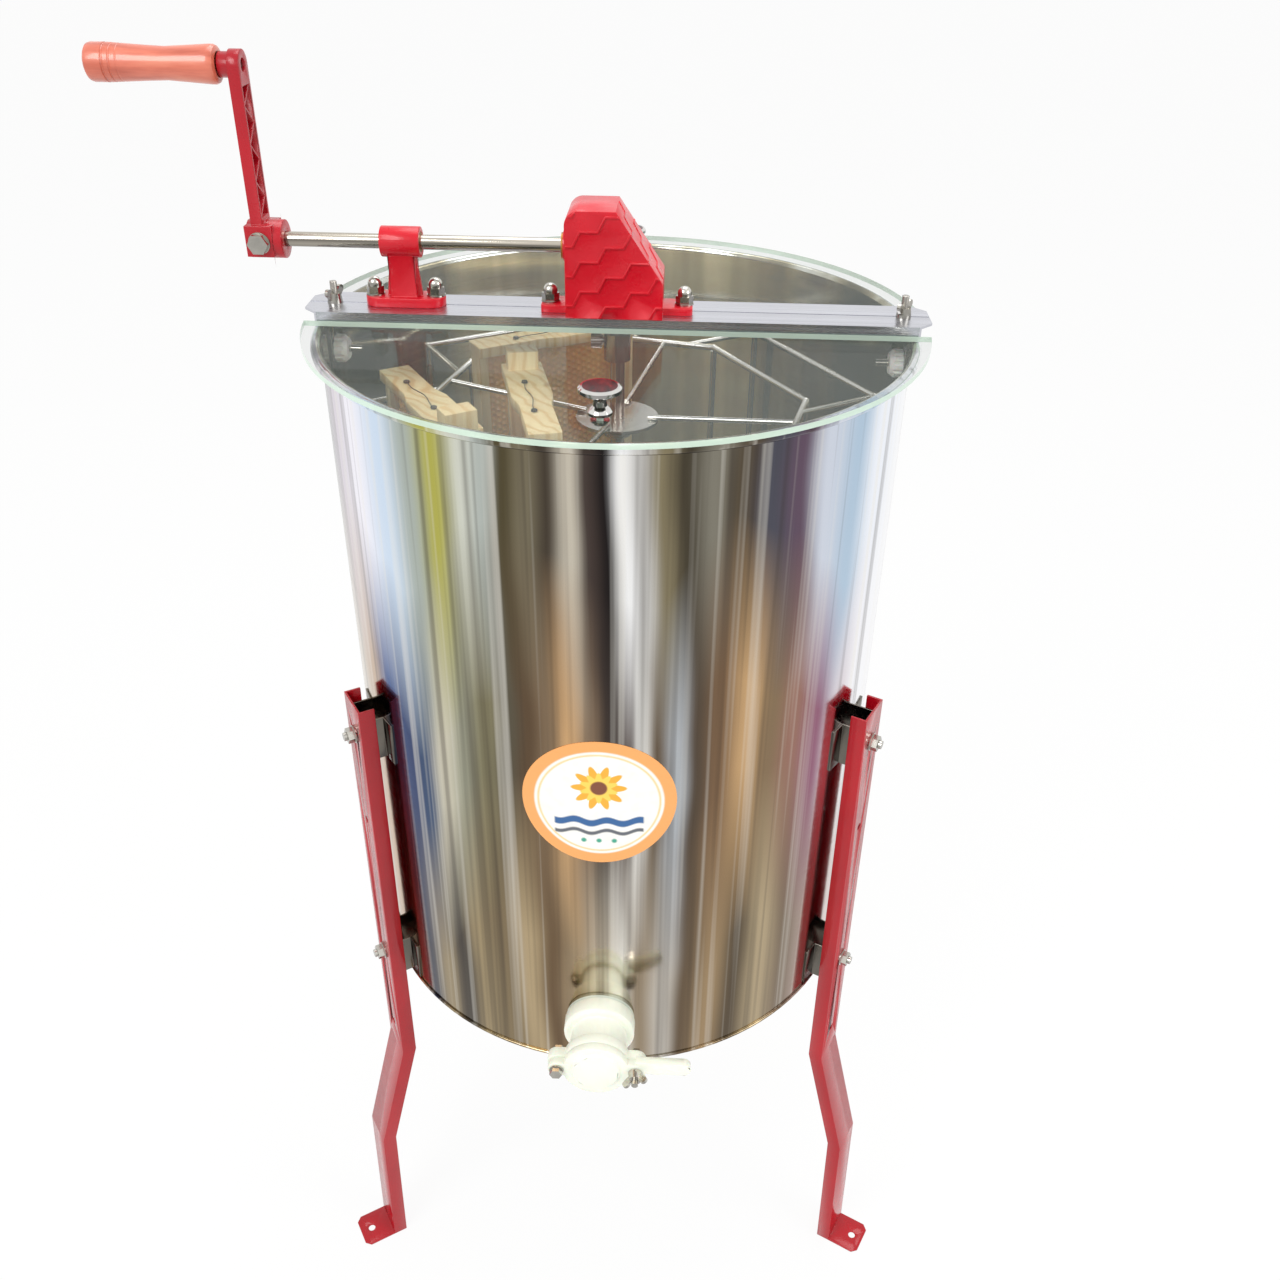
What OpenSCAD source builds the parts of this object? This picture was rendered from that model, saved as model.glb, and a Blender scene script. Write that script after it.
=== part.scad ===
// Hand-cranked honey extractor: steel drum on three legs, a basket for four hive
// frames, a geared crank on a cross bar, two clear half lids and a flap honey gate.
// Origin on the floor under the middle of the drum, +Z up, honey gate towards -Y,
// crank towards -X.

/* [Drum] */
// Outer diameter of the drum
drum_d = 500; // [440:1:600]
// Height of the drum, lower edge to the top of the rolled rim
drum_h = 651; // [620:1:800]
// Thickness of the drum sheet
drum_wall = 1; // [0.6:0.1:2]
// Height of the drum's lower edge above the floor
stand_h = 423; // [360:1:550]
// Diameter of the rolled rim
bead_d = 9; // [6:0.5:12]
// Diameter of the hem round the lower edge
hem_d = 3; // [2:0.5:6]
// Height of the bottom's edge above the drum's lower edge
bottom_up = 14; // [8:1:22]
// Rise of the bottom from its edge to the middle
bottom_rise = 26; // [10:1:34]
// Thickness of the bottom sheet
bottom_t = 1.2; // [0.8:0.1:3]
// Diameter of the flat seat in the middle of the bottom
seat_d = 60; // [50:1:90]

/* [Pivot] */
// Outer diameter of the pivot cup on the bottom
cup_d = 34; // [28:1:44]
// Height of the pivot cup
cup_h = 26; // [20:1:40]
// Outer diameter of the bush in the cup
cup_bush_d = 22; // [18:1:24]
// Depth of the bore in the cup
cup_bore_h = 20; // [14:1:30]

/* [Legs] */
// Width of the leg channel across its web
leg_w = 40; // [30:1:50]
// Depth of the leg channel
leg_depth = 15; // [13:1:20]
// Thickness of the leg sheet
leg_t = 2; // [1.5:0.1:4]
// Radius of the web's outer face beside the drum
leg_r = 273; // [268:1:310]
// Radius of the web's outer face at the floor
foot_r = 315; // [300:1:360]
// Height of the leg's top above the drum's lower edge
leg_top = 343; // [320:1:420]
// Drop below the drum's lower edge where the leg starts to bend out
bend_top = 115; // [100:1:150]
// Drop below the drum's lower edge where the leg runs down again
bend_low = 247; // [200:1:300]
// Length of the foot plate beyond the web
foot_len = 35; // [25:1:50]
// Distance from the web to the hole in the foot plate
foot_hole_out = 22; // [14:1:24]
// Diameter of the holes in the foot plates
foot_hole_d = 8; // [5:0.5:10]
// Turn of the three legs from square to the gate
leg_turn = 2; // [0:0.5:10]
// Height of the upper leg bolts above the drum's lower edge
bolt_high = 308; // [270:1:312]
// Height of the lower leg bolts above the drum's lower edge
bolt_low = 27; // [25:1:80]
// Height of the upper spare hole in each web
spare_high = 205; // [150:1:240]
// Drop of the lower spare hole below the drum's lower edge
spare_low = 82; // [60:1:95]
// Diameter of the spare holes
spare_d = 7; // [5:0.5:10]

/* [Leg brackets] */
// Height of each leg bracket
bracket_h = 44; // [34:1:50]
// Thickness of the bracket sheet
bracket_t = 1.5; // [1:0.1:3]
// Length of each bracket foot along the drum
bracket_foot = 16; // [10:1:24]
// Diameter of the leg bolts
leg_bolt_d = 8; // [6:0.5:10]

/* [Cross bar] */
// Width of the cross bar
bar_w = 56; // [50:1:70]
// Height of the cross bar
bar_h = 12; // [8:1:16]
// Thickness of the cross bar sheet
bar_t = 2; // [1.5:0.1:3]
// Overhang of the bar past the drum wall at each end
bar_over = 15; // [10:1:20]
// Cut across the corners of the bar
bar_corner = 12; // [0:1:20]
// Distance of each clamp stud from the drum wall
stud_in = 7; // [7:1:14]
// Diameter of the clamp studs
stud_d = 6; // [5:0.5:6]
// Drop of the wall bolts below the rim
wall_bolt_drop = 29; // [26:1:40]
// Width of the clamp brackets
clamp_w = 30; // [24:1:40]
// Thickness of the clamp brackets
clamp_t = 2; // [1.5:0.1:3]
// Reach of the clamp bracket under the bar
clamp_reach = 26; // [22:1:36]
// Diameter of the round cap nuts inside the wall
cap_nut_d = 24; // [18:1:28]
// Thickness of the round cap nuts
cap_nut_t = 11; // [8:1:16]

/* [Lids] */
// Overhang of the lids past the drum wall
lid_over = 15; // [10:1:20]
// Thickness of the lids
lid_t = 4.5; // [3:0.5:8]
// Gap between the lids and the bar
lid_gap = 1.5; // [1:0.5:5]
// Distance of the lid knobs from the middle of the drum
knob_y = 213; // [120:1:230]
// Diameter of the top of a lid knob
knob_d = 31.5; // [26:0.5:36]
// Height of a lid knob
knob_h = 21; // [18:1:32]

/* [Drive] */
// Height of the crank shaft above the bar
shaft_up = 52.5; // [48:0.5:60]
// Diameter of the crank shaft
crank_shaft_d = 12; // [10:0.5:14]
// Diameter of the vertical shafts
drive_d = 13; // [10:0.5:14]
// Tooth count of the gear on the crank shaft
gear_teeth = 32; // [24:2:40]
// Tooth count of the pinion
pinion_teeth = 16; // [12:1:20]
// Pitch radius of the gear
gear_r = 19.2; // [16:0.1:19.4]
// Width of the gear teeth
tooth_face = 6.5; // [5:0.5:8]

/* [Gear case] */
// Left side of the gear case, from the middle of the drum
case_left = 42; // [38:1:50]
// Right side of the gear case, from the middle of the drum
case_right = 39; // [34:1:46]
// Depth of the gear case, front to back
case_depth = 54; // [52:1:64]
// Height of the gear case
case_h = 87; // [84:1:110]
// Wall of the gear case
case_wall = 4; // [3:0.5:4.5]
// Distance of the gear case bolts from the middle of the drum
case_bolt_x = 57; // [55:1:70]
// Thickness of the tabs of the gear case
case_tab_t = 6; // [4:0.5:10]
// Height of the raised pattern on the gear case
relief_h = 1.2; // [0.5:0.1:2]
// Rounding of the case's top corner on the crank side
case_round = 12; // [6:1:18]
// Size across flats of the hexagons on the case
scale_af = 24.2; // [16:0.1:30]
// Width of the raised lines on the case
scale_line = 1.6; // [1:0.1:2.4]

/* [Pedestal] */
// Distance of the shaft pedestal from the middle of the drum
ped_x = 181; // [150:1:190]
// Length of the pedestal's base
ped_len = 68; // [64:1:80]
// Depth of the pedestal's base
ped_w = 24; // [20:1:40]
// Thickness of the pedestal's base
ped_t = 8; // [5:0.5:12]
// Distance between the two pedestal bolts
ped_bolts = 52; // [50:1:56]
// Diameter of the pedestal's round boss
ped_boss_d = 25; // [22:1:30]
// Length of the pedestal's round boss
ped_boss_l = 33; // [20:1:50]
// Wall of the shaft bushes
bush_wall = 2; // [1.5:0.5:3]
// Diameter of the bolts through the bar
bar_bolt_d = 8; // [6:0.5:8]

/* [Crank] */
// Throw of the crank, shaft to grip
crank_throw = 133; // [100:1:180]
// Distance of the arm's inner face from the middle of the drum
arm_x = 293; // [290:1:340]
// Thickness of the crank arm
arm_t = 9.5; // [8:0.5:16]
// Width of the crank arm
arm_w = 23; // [18:1:28]
// Outer diameter of the crank hub
hub_d = 31; // [26:1:40]
// Length of the crank hub beyond the arm
hub_l = 15; // [12:1:24]
// Length of the hub on the grip side of the arm
hub_out = 5; // [3:0.5:10]
// Diameter of the boss that holds the grip spindle
boss_d = 19; // [16:0.5:22]
// Length of the boss that holds the grip spindle
boss_l = 8.5; // [6:0.5:14]
// Diameter of the grip at its ends
grip_d = 29; // [24:1:36]
// Diameter of the grip at its waist
grip_waist = 24.5; // [20:0.5:30]
// Length of the grip
grip_l = 103; // [80:1:140]
// Diameter of the spindle in the grip
spindle_d = 10; // [8:0.5:12]

/* [Basket] */
// Depth of the basket's top rods below the rim
basket_drop = 71; // [60:1:90]
// Height of the basket's bottom rods above the drum's lower edge
basket_low_z = 140; // [120:1:160]
// Distance of the pockets' inner rods from the shaft
inner_r = 150; // [140:1:156]
// Distance of the pockets' outer rods from the shaft
outer_r = 212; // [206:1:214]
// Distance of the short corner rods from the shaft
corner_r = 161; // [156:1:168]
// Half of a pocket's length
pocket_half = 98; // [90:1:102]
// Diameter of the basket rods
rod_d = 6; // [4:0.5:8]
// Diameter of the basket's cross rods and spokes
thin_rod_d = 5; // [3:0.5:5.5]
// Extra diameter of the welds at the basket's corners
weld = 0.8; // [0.4:0.1:2]
// Diameter of the basket's hub plates
plate_d = 74; // [50:1:80]
// Thickness of the basket's hub plates
plate_t = 3; // [2:0.5:6]
// Depth of the top hub plate below the rim
plate_drop = 88; // [80:1:110]
// Turn of the basket at rest
basket_turn = 31.5; // [0:0.5:90]
// Distance of the floor bars from the middle of a pocket
floor_bar = 56; // [40:1:70]
// Diameter of the coupling sleeve
sleeve_d = 23; // [19:1:28]
// Length of the coupling sleeve
sleeve_l = 24; // [18:1:30]
// Depth of the coupling sleeve's lower end below the rim
sleeve_drop = 32; // [29:1:50]

/* [Hive frames] */
// Room between the hive frames and the rim
frame_room = 25.5; // [20:0.5:60]
// Height of a hive frame
frame_h = 159; // [130:1:170]
// Widest width of a frame's end bars
end_w = 35; // [28:1:38]
// Thickness of a frame's end bars
end_t = 9.5; // [8:0.5:12]
// Length of a frame's lugs
lug_len = 16; // [10:1:25]
// Depth of a frame's top bar
top_bar_t = 19; // [15:1:24]
// Width of a frame's top bar
top_bar_w = 27; // [20:1:30]
// Distance of the pocketed frame inside the outer rods
frame_in = 40; // [36:0.5:44]
// Distance of the loose frame inside the inner rods
loose_in = 35; // [34:0.5:38]
// Shift of the loose frame along its place
loose_slide = -8; // [-9:1:-4]
// Place across the basket of the frame beside the hub
beside_x = -92; // [-93:0.5:-91]
// Place along the basket of the frame beside the hub
beside_y = -22; // [-23:0.5:-21]
// Turn of the frame beside the hub against the basket
beside_turn = -17.5; // [-19:0.5:-16]

/* [Honey gate] */
// Height of the gate above the drum's lower edge
gate_z = 60; // [56:1:90]
// Bore of the gate
gate_bore = 40; // [30:1:42]
// Outer diameter of the gate's neck where it passes the wall
gate_neck_d = 48; // [46:1:56]
// Diameter of the gate's collar
gate_collar_d = 66; // [60:1:76]
// Reach of the gate's front face from the drum wall
gate_reach = 52; // [46:1:60]
// Diameter of the gate's front flange
gate_flange_d = 60; // [58:1:66]
// Distance of the two gate bolts from the gate's middle
gate_bolt_x = 36; // [36:1:42]
// Diameter of the gate bolts
gate_bolt_d = 6; // [5:0.5:6]
// Thickness of the gate's flap
flap_t = 8; // [6:0.5:12]
// Length of the lever from the gate's middle
lever_len = 86; // [70:1:110]

/* [Label] */
// Diameter of the blank label on the drum
label_d = 130; // [60:1:150]
// Height of the label's middle above the drum's lower edge
label_z = 325; // [280:1:400]

/* [Fits] */
// Radial running clearance of the shafts
run_gap = 0.05; // [0.01:0.01:0.1]
// Clearance between pieces that lie close to each other
lay_gap = 0.3; // [0.2:0.1:0.5]
// Radial clearance of bolts in their holes
bolt_gap = 0.25; // [0.1:0.05:0.5]

/* [Hidden] */
$fn = 72;
fine = 360;
drum_r = drum_d / 2;
basket_top_z = drum_h - basket_drop;
plate_z = drum_h - plate_drop;
sleeve_z = drum_h - sleeve_drop;
bar_len = drum_h - basket_low_z - thin_rod_d / 2 - frame_room;
frame_r = outer_r - frame_in;
loose_r = inner_r - loose_in;
inner_wall = drum_r - drum_wall;
rim_z = stand_h + drum_h;
bar_top = rim_z + bar_h;
shaft_z = bar_top + shaft_up;
case_shoulder = shaft_up * 0.57;
case_slope = norm([case_right, case_h - case_shoulder]);
case_lean = atan(case_right / (case_h - case_shoulder));
bar_half = drum_r + bar_over;
stud_x = drum_r - stud_in;
seat_z = stand_h + bottom_up + bottom_rise;
leg_turns = [leg_turn - 60, leg_turn + 60, leg_turn + 180];
leg_heights = [stand_h + bolt_low, stand_h + bolt_high];
pinion_r = gear_r * pinion_teeth / gear_teeth;
apex = norm([gear_r, pinion_r]);
nut_af = 13;
wall_bolt_z = rim_z - wall_bolt_drop;
frame_z = stand_h + basket_low_z + thin_rod_d / 2;
frame_slide = floor_bar - (frame_h - top_bar_t) / 2;
gate_zz = stand_h + gate_z;
gate_y = -drum_r - gate_reach;
grip_x = arm_x + arm_t + boss_l + 1;

// ---------- helpers ----------
module rod(a, b, d) {
  v = b - a;
  l = norm(v);
  translate(a) rotate([0, acos(v.z / l), atan2(v.y, v.x)]) cylinder(d = d, h = l);
}

module along_x(x, y, z, d, l) {
  translate([x, y, z]) rotate([0, 90, 0]) cylinder(d = d, h = l);
}

module along_y(x, y, z, d, l) {
  translate([x, y, z]) rotate([-90, 0, 0]) cylinder(d = d, h = l);
}

module hexagon(af, h) {
  cylinder(d = af / cos(30), h = h, $fn = 6);
}

// Turns a shape drawn for the gate's side of the drum to a leg
module at_leg(turn) {
  rotate([0, 0, turn]) children();
}

// ---------- drum ----------
module drum_wall() {
  color("silver") difference() {
    rotate_extrude() {
      translate([inner_wall, stand_h]) square([drum_wall, drum_h - bead_d / 2]);
      translate([drum_r + bead_d / 2 - drum_wall, rim_z - bead_d / 2]) circle(d = bead_d);
      translate([drum_r + hem_d / 2 - drum_wall, stand_h + hem_d / 2]) circle(d = hem_d);
    }
    along_y(0, -drum_r - 5, gate_zz, gate_neck_d + 2 * lay_gap, 20);
    for (s = [-1, 1])
      along_x(s * drum_r - 10, 0, wall_bolt_z, stud_d + 2 * bolt_gap, 20);
  }
}

module drum_bottom() {
  skirt = bottom_up - hem_d;
  color("silver") rotate_extrude() polygon([
    [0, seat_z], [seat_d / 2, seat_z], [inner_wall, stand_h + bottom_up],
    [inner_wall, stand_h + bottom_up - skirt],
    [inner_wall - bottom_t, stand_h + bottom_up - skirt],
    [inner_wall - bottom_t, stand_h + bottom_up - bottom_t],
    [seat_d / 2, seat_z - bottom_t], [0, seat_z - bottom_t]]);
}

module pivot_cup() {
  color("gainsboro") translate([0, 0, seat_z]) difference() {
    rotate_extrude() polygon([[0, 0], [cup_d / 2, 0], [cup_d / 2, cup_h - 2],
      [cup_d / 2 - 2, cup_h], [0, cup_h]]);
    translate([0, 0, cup_h - cup_bore_h]) cylinder(d = cup_bush_d, h = cup_h);
  }
}

module pivot_bush() {
  color("peru") translate([0, 0, seat_z + cup_h - cup_bore_h]) difference() {
    union() {
      cylinder(d = cup_bush_d, h = cup_bore_h);
      translate([0, 0, cup_bore_h]) cylinder(d = cup_bush_d + 6, h = 2);
    }
    translate([0, 0, 2]) cylinder(d = drive_d + 2 * run_gap, h = cup_bore_h + 1);
  }
}

module label_plate() {
  color("white") intersection() {
    translate([0, 0, stand_h + label_z - label_d / 2]) difference() {
      cylinder(r = drum_r + 0.3, h = label_d, $fn = fine);
      translate([0, 0, -1]) cylinder(r = drum_r, h = label_d + 2, $fn = fine);
    }
    along_y(0, -drum_r - 1, stand_h + label_z, label_d, drum_r / 2);
  }
}

// ---------- legs ----------
// Outline of the bent channel, seen from its side, for a given inset from the web
function leg_path(inset) = [
  [leg_r - inset, stand_h + leg_top], [leg_r + 2 - inset, stand_h - bend_top],
  [foot_r - 4 - inset, stand_h - bend_low], [foot_r - inset, 0]];

function back_to_front(path) = [for (i = [len(path) - 1:-1:0]) path[i]];

module leg_side(from, to) {
  polygon(concat(leg_path(from), back_to_front(leg_path(to))));
}

module upright(t, shift) {
  translate([shift + t / 2, 0, 0]) rotate([90, 0, -90]) linear_extrude(t) children();
}

module leg() {
  half = leg_w / 2;
  difference() {
    union() {
      upright(leg_w, 0) leg_side(0, leg_t);
      for (s = [-1, 1])
        upright(leg_t, s * (half - leg_t / 2)) leg_side(0, leg_depth);
      translate([-half, -foot_r - foot_len, 0]) difference() {
        cube([leg_w, foot_len + leg_t, leg_t]);
        for (x = [0, leg_w]) translate([x, 0, -1])
          rotate([0, 0, 45]) cube([8, 8, 3 * leg_t], center = true);
      }
    }
    translate([0, -foot_r - foot_hole_out, -1]) cylinder(d = foot_hole_d, h = leg_t + 2);
    for (z = leg_heights)
      along_y(0, -leg_r - 5, z, leg_bolt_d + 2 * bolt_gap, 12);
    for (z = [stand_h + spare_high, stand_h - spare_low])
      along_y(0, -leg_r - 5, z, spare_d, 12);
  }
}

module leg_left() { color("crimson") at_leg(leg_turns[0]) leg(); }
module leg_right() { color("crimson") at_leg(leg_turns[1]) leg(); }
module leg_rear() { color("crimson") at_leg(leg_turns[2]) leg(); }

// Radius of the web's inner face at a height beside the drum
function web_r(z) = leg_r - leg_t
  + 2 * (stand_h + leg_top - z) / (leg_top + bend_top);

module leg_bracket() {
  hat = leg_w - 2 * leg_t - 2 * lay_gap;
  for (z = leg_heights) {
    out = web_r(z + bracket_h / 2);
    translate([0, 0, z - bracket_h / 2]) difference() {
      union() {
        translate([-hat / 2, -out, 0]) cube([hat, out - drum_r * 0.9, bracket_h]);
        intersection() {
          cylinder(r = drum_r + bracket_t, h = bracket_h, $fn = fine);
          translate([-hat / 2 - bracket_foot, -out, 0])
            cube([hat + 2 * bracket_foot, out - drum_r * 0.9, bracket_h]);
        }
      }
      translate([bracket_t - hat / 2, bracket_t - out, -1])
        cube([hat - 2 * bracket_t, out, bracket_h + 2]);
      translate([0, 0, -1]) cylinder(r = drum_r, h = bracket_h + 2, $fn = fine);
      along_y(0, -out - 5, bracket_h / 2, leg_bolt_d + 2 * bolt_gap, 12);
    }
  }
}

module leg_bracket_left() { color("lightgray") at_leg(leg_turns[0]) leg_bracket(); }
module leg_bracket_right() { color("lightgray") at_leg(leg_turns[1]) leg_bracket(); }
module leg_bracket_rear() { color("lightgray") at_leg(leg_turns[2]) leg_bracket(); }

module leg_bolts() {
  color("gainsboro") for (turn = leg_turns) at_leg(turn) for (z = leg_heights) {
    seat = web_r(z + bracket_h / 2) - bracket_t;
    translate([0, -seat, z]) rotate([90, 0, 0]) {
      cylinder(d = leg_bolt_d, h = bracket_t + leg_t + 11);
      translate([0, 0, -5]) hexagon(nut_af, 5);
    }
  }
}

module leg_nuts() {
  color("silver") for (turn = leg_turns) at_leg(turn) for (z = leg_heights)
    translate([0, -web_r(z - nut_af / 2) - leg_t, z]) rotate([90, 0, 0]) difference() {
      union() {
        cylinder(d = nut_af + 4, h = 1.4);
        translate([0, 0, 1.4]) hexagon(nut_af, 6.5);
      }
      translate([0, 0, -1]) cylinder(d = leg_bolt_d + 0.1, h = 12);
    }
}

// ---------- cross bar and its clamps ----------
module cross_bar() {
  color("lightgray") difference() {
    translate([-bar_half, -bar_w / 2, rim_z]) cube([2 * bar_half, bar_w, bar_h]);
    translate([-bar_half - 1, bar_t - bar_w / 2, rim_z - 1])
      cube([2 * bar_half + 2, bar_w - 2 * bar_t, bar_h - bar_t + 1]);
    translate([-bar_half - 1, -0.8, bar_top - 0.5]) cube([2 * bar_half + 2, 1.6, 1]);
    for (sx = [-1, 1]) for (sy = [-1, 1])
      translate([sx * bar_half, sy * bar_w / 2, rim_z + bar_h / 2])
        rotate([0, 0, 45])
          cube([bar_corner * sqrt(2), bar_corner * sqrt(2), bar_h + 2], center = true);
    for (s = [-1, 1])
      translate([s * stud_x, 0, rim_z]) cylinder(d = stud_d + 2 * bolt_gap, h = bar_h + 1);
    for (x = bar_bolt_places())
      translate([x, 0, rim_z]) cylinder(d = bar_bolt_d + 2 * bolt_gap, h = bar_h + 1);
    translate([0, 0, rim_z]) cylinder(d = drive_d + 2 * bush_wall + 2, h = bar_h + 1);
  }
}

function bar_bolt_places() = [-ped_x - ped_bolts / 2, -ped_x + ped_bolts / 2,
  -case_bolt_x, case_bolt_x];

// Side is -1 on the left and 1 on the right
module clamp_bracket(side) {
  under = bar_top - bar_t;
  color("silver") difference() {
    union() {
      intersection() {
        translate([side > 0 ? 0 : -drum_r, -clamp_w / 2, wall_bolt_z - 13])
          cube([drum_r, clamp_w, under - wall_bolt_z + 13]);
        difference() {
          cylinder(r = inner_wall, h = bar_top, $fn = fine);
          translate([0, 0, -1])
            cylinder(r = inner_wall - clamp_t, h = bar_top + 2, $fn = fine);
        }
      }
      intersection() {
        translate([side > 0 ? inner_wall - clamp_reach : -inner_wall,
                   -clamp_w / 2, under - clamp_t])
          cube([clamp_reach, clamp_w, clamp_t]);
        cylinder(r = inner_wall, h = bar_top, $fn = fine);
      }
      translate([side * stud_x, 0, under - clamp_t]) cylinder(d = stud_d, h = 20 + bar_t);
    }
    along_x(side * drum_r - 20, 0, wall_bolt_z, stud_d + 2 * bolt_gap, 40);
  }
}

module clamp_bracket_left() { clamp_bracket(-1); }
module clamp_bracket_right() { clamp_bracket(1); }

module wall_bolts() {
  tail = clamp_t + drum_wall + cap_nut_t + 12;
  color("gainsboro") for (turn = [0, 180]) rotate([0, 0, turn]) {
    along_x(drum_r - tail, 0, wall_bolt_z, stud_d, tail + 1);
    translate([drum_r + 0.3, 0, wall_bolt_z]) rotate([0, 90, 0]) rotate_extrude()
      polygon([[0, 0], [6.5, 0], [6, 2], [4, 3.4], [0, 4]]);
  }
}

module wall_cap_nuts() {
  color("whitesmoke") for (turn = [0, 180]) rotate([0, 0, turn])
    translate([inner_wall - clamp_t - 0.5, 0, wall_bolt_z]) rotate([0, -90, 0])
      difference() {
        rotate_extrude() polygon([[0, 0], [cap_nut_d / 2, 0],
          [cap_nut_d / 2, cap_nut_t - 4], [cap_nut_d / 2 - 3, cap_nut_t], [0, cap_nut_t]]);
        for (a = [0:36:324]) rotate([0, 0, a])
          translate([cap_nut_d / 2 + 1, 0, -1]) cylinder(d = 4.4, h = cap_nut_t + 2);
        translate([0, 0, -1]) cylinder(d = stud_d + 0.1, h = cap_nut_t + 2);
      }
}

module wing_nut(d) {
  difference() {
    union() {
      cylinder(d1 = d + 7, d2 = d + 5, h = 8);
      for (s = [-1, 1]) hull() {
        translate([s * (d / 2 + 1.2), 1.4, 4.6]) rotate([90, 0, 0])
          cylinder(r = 2.8, h = 2.8, $fn = 32);
        translate([s * (d / 2 + 5.5), 1.4, 9.5]) rotate([90, 0, 0])
          cylinder(r = 3.4, h = 2.8, $fn = 32);
      }
    }
    translate([0, 0, -1]) cylinder(d = d + 2 * run_gap, h = 30);
  }
}

module wing_nut_left() {
  color("gainsboro") translate([-stud_x, 0, bar_top]) rotate([0, 0, 70]) wing_nut(stud_d);
}
module wing_nut_right() {
  color("gainsboro") translate([stud_x, 0, bar_top]) rotate([0, 0, 55]) wing_nut(stud_d);
}

// ---------- gear case ----------
// Half of the case seen from the front, drawn a given inset inside its walls
module case_outline(inset, sole) {
  left = case_left - inset;
  right = case_right - inset;
  top = case_h - inset;
  shoulder = case_shoulder - inset / 2;
  round_r = case_round - inset;
  polygon([[-left, sole], [-left, top - round_r], [round_r - left, top],
    [-inset / 2, top], [right, shoulder], [right, sole]]);
  translate([round_r - left, top - round_r]) circle(r = round_r);
}

module scales(nx, nz) {
  side = scale_af / sqrt(3);
  w = scale_line / sqrt(3);
  for (i = [-nx:nx]) for (k = [-nz:nz])
    translate([i * 1.5 * side, (k + (i % 2 == 0 ? 0 : 0.5)) * scale_af]) {
      translate([-side / 2, -scale_line / 2]) square([side, scale_line]);
      polygon([[side / 2 - w, -scale_line / 2], [side / 2 + w, -scale_line / 2],
        [side + w, (scale_af + scale_line) / 2], [side - w, (scale_af + scale_line) / 2]]);
    }
}

module gear_case() {
  color("red") translate([0, 0, bar_top]) difference() {
    union() {
      translate([0, case_depth / 2, 0]) rotate([90, 0, 0])
        linear_extrude(case_depth) case_outline(0, 0);
      for (s = [-1, 1]) translate([0, s * (case_depth / 2 + relief_h / 2), 0])
        rotate([90, 0, 0]) linear_extrude(relief_h, center = true) intersection() {
          case_outline(0.8, 0.4);
          translate([-case_left / 2 - 1, case_h / 2 + 3]) scales(4, 2);
        }
      translate([case_right, 0, case_shoulder]) rotate([90 - case_lean, 0, 90])
        translate([0, 0, -relief_h / 2]) linear_extrude(relief_h) intersection() {
          translate([0.8 - case_depth / 2, 0.8]) square([case_depth - 1.6, case_slope - 1.6]);
          translate([0, case_slope / 2]) scales(2, 2);
        }
      translate([-case_bolt_x, -14, 0]) cube([2 * case_bolt_x, 28, case_tab_t]);
      for (s = [-1, 1]) translate([s * case_bolt_x, 0, 0]) {
        intersection() {
          cylinder(r = 14, h = case_tab_t);
          translate([-7, -14, 0]) cube([14, 28, case_tab_t]);
        }
      }
      along_x(-case_left - 3, 0, shaft_up, crank_shaft_d + 2 * bush_wall + 8, 12);
    }
    difference() {
      translate([0, case_depth / 2 - case_wall, 0]) rotate([90, 0, 0])
        linear_extrude(case_depth - 2 * case_wall) case_outline(case_wall, -case_wall);
      along_x(-case_left - 3, 0, shaft_up, crank_shaft_d + 2 * bush_wall + 8, 12);
    }
    along_x(-case_left - 10, 0, shaft_up, crank_shaft_d + 2 * bush_wall, 30);
    for (s = [-1, 1]) translate([s * case_bolt_x, 0, -1])
      cylinder(d = bar_bolt_d + 2 * bolt_gap, h = case_tab_t + 2);
  }
}

module case_bush() {
  color("peru") difference() {
    union() {
      along_x(-case_left - 3, 0, shaft_z, crank_shaft_d + 2 * bush_wall, 12);
      along_x(-case_left - 4.5, 0, shaft_z, crank_shaft_d + 2 * bush_wall + 5, 1.5);
    }
    along_x(-case_left - 9, 0, shaft_z, crank_shaft_d + 2 * run_gap, 30);
  }
}

module bar_bush() {
  outer = drive_d + 2 * bush_wall;
  color("peru") translate([0, 0, bar_top]) difference() {
    union() {
      translate([0, 0, -bar_t - 8]) cylinder(d = outer, h = bar_t + 8);
      cylinder(d = outer + 7, h = 2);
      translate([0, 0, -bar_t - 3]) cylinder(d = outer + 7, h = 3);
    }
    translate([0, 0, -30]) cylinder(d = drive_d + 2 * run_gap, h = 40);
  }
}

// ---------- shaft pedestal ----------
module pedestal() {
  reach = (ped_len - ped_w) / 2;
  color("red") translate([-ped_x, 0, bar_top]) difference() {
    union() {
      translate([-reach, -ped_w / 2, 0]) cube([2 * reach, ped_w, ped_t]);
      for (s = [-1, 1]) translate([s * reach, 0, 0]) cylinder(d = ped_w, h = ped_t);
      translate([-11, -8, 0]) cube([22, 16, shaft_up]);
      for (s = [-1, 1]) translate([s * 11, 0, ped_t]) rotate([90, 0, 0])
        linear_extrude(5, center = true)
          polygon([[-s, -1], [s * 4, -1], [s * 2.5, 12], [-s, shaft_up - ped_t - 6]]);
      along_x(-ped_boss_l / 2, 0, shaft_up, ped_boss_d, ped_boss_l);
    }
    along_x(-ped_boss_l, 0, shaft_up, crank_shaft_d + 2 * bush_wall, 2 * ped_boss_l);
    for (s = [-1, 1]) translate([s * ped_bolts / 2, 0, -1])
      cylinder(d = bar_bolt_d + 2 * bolt_gap, h = ped_t + 2);
  }
}

module pedestal_bush() {
  color("peru") translate([-ped_x, 0, shaft_z]) difference() {
    along_x(-ped_boss_l / 2, 0, 0, crank_shaft_d + 2 * bush_wall, ped_boss_l);
    along_x(-ped_boss_l, 0, 0, crank_shaft_d + 2 * run_gap, 2 * ped_boss_l);
  }
}

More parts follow.
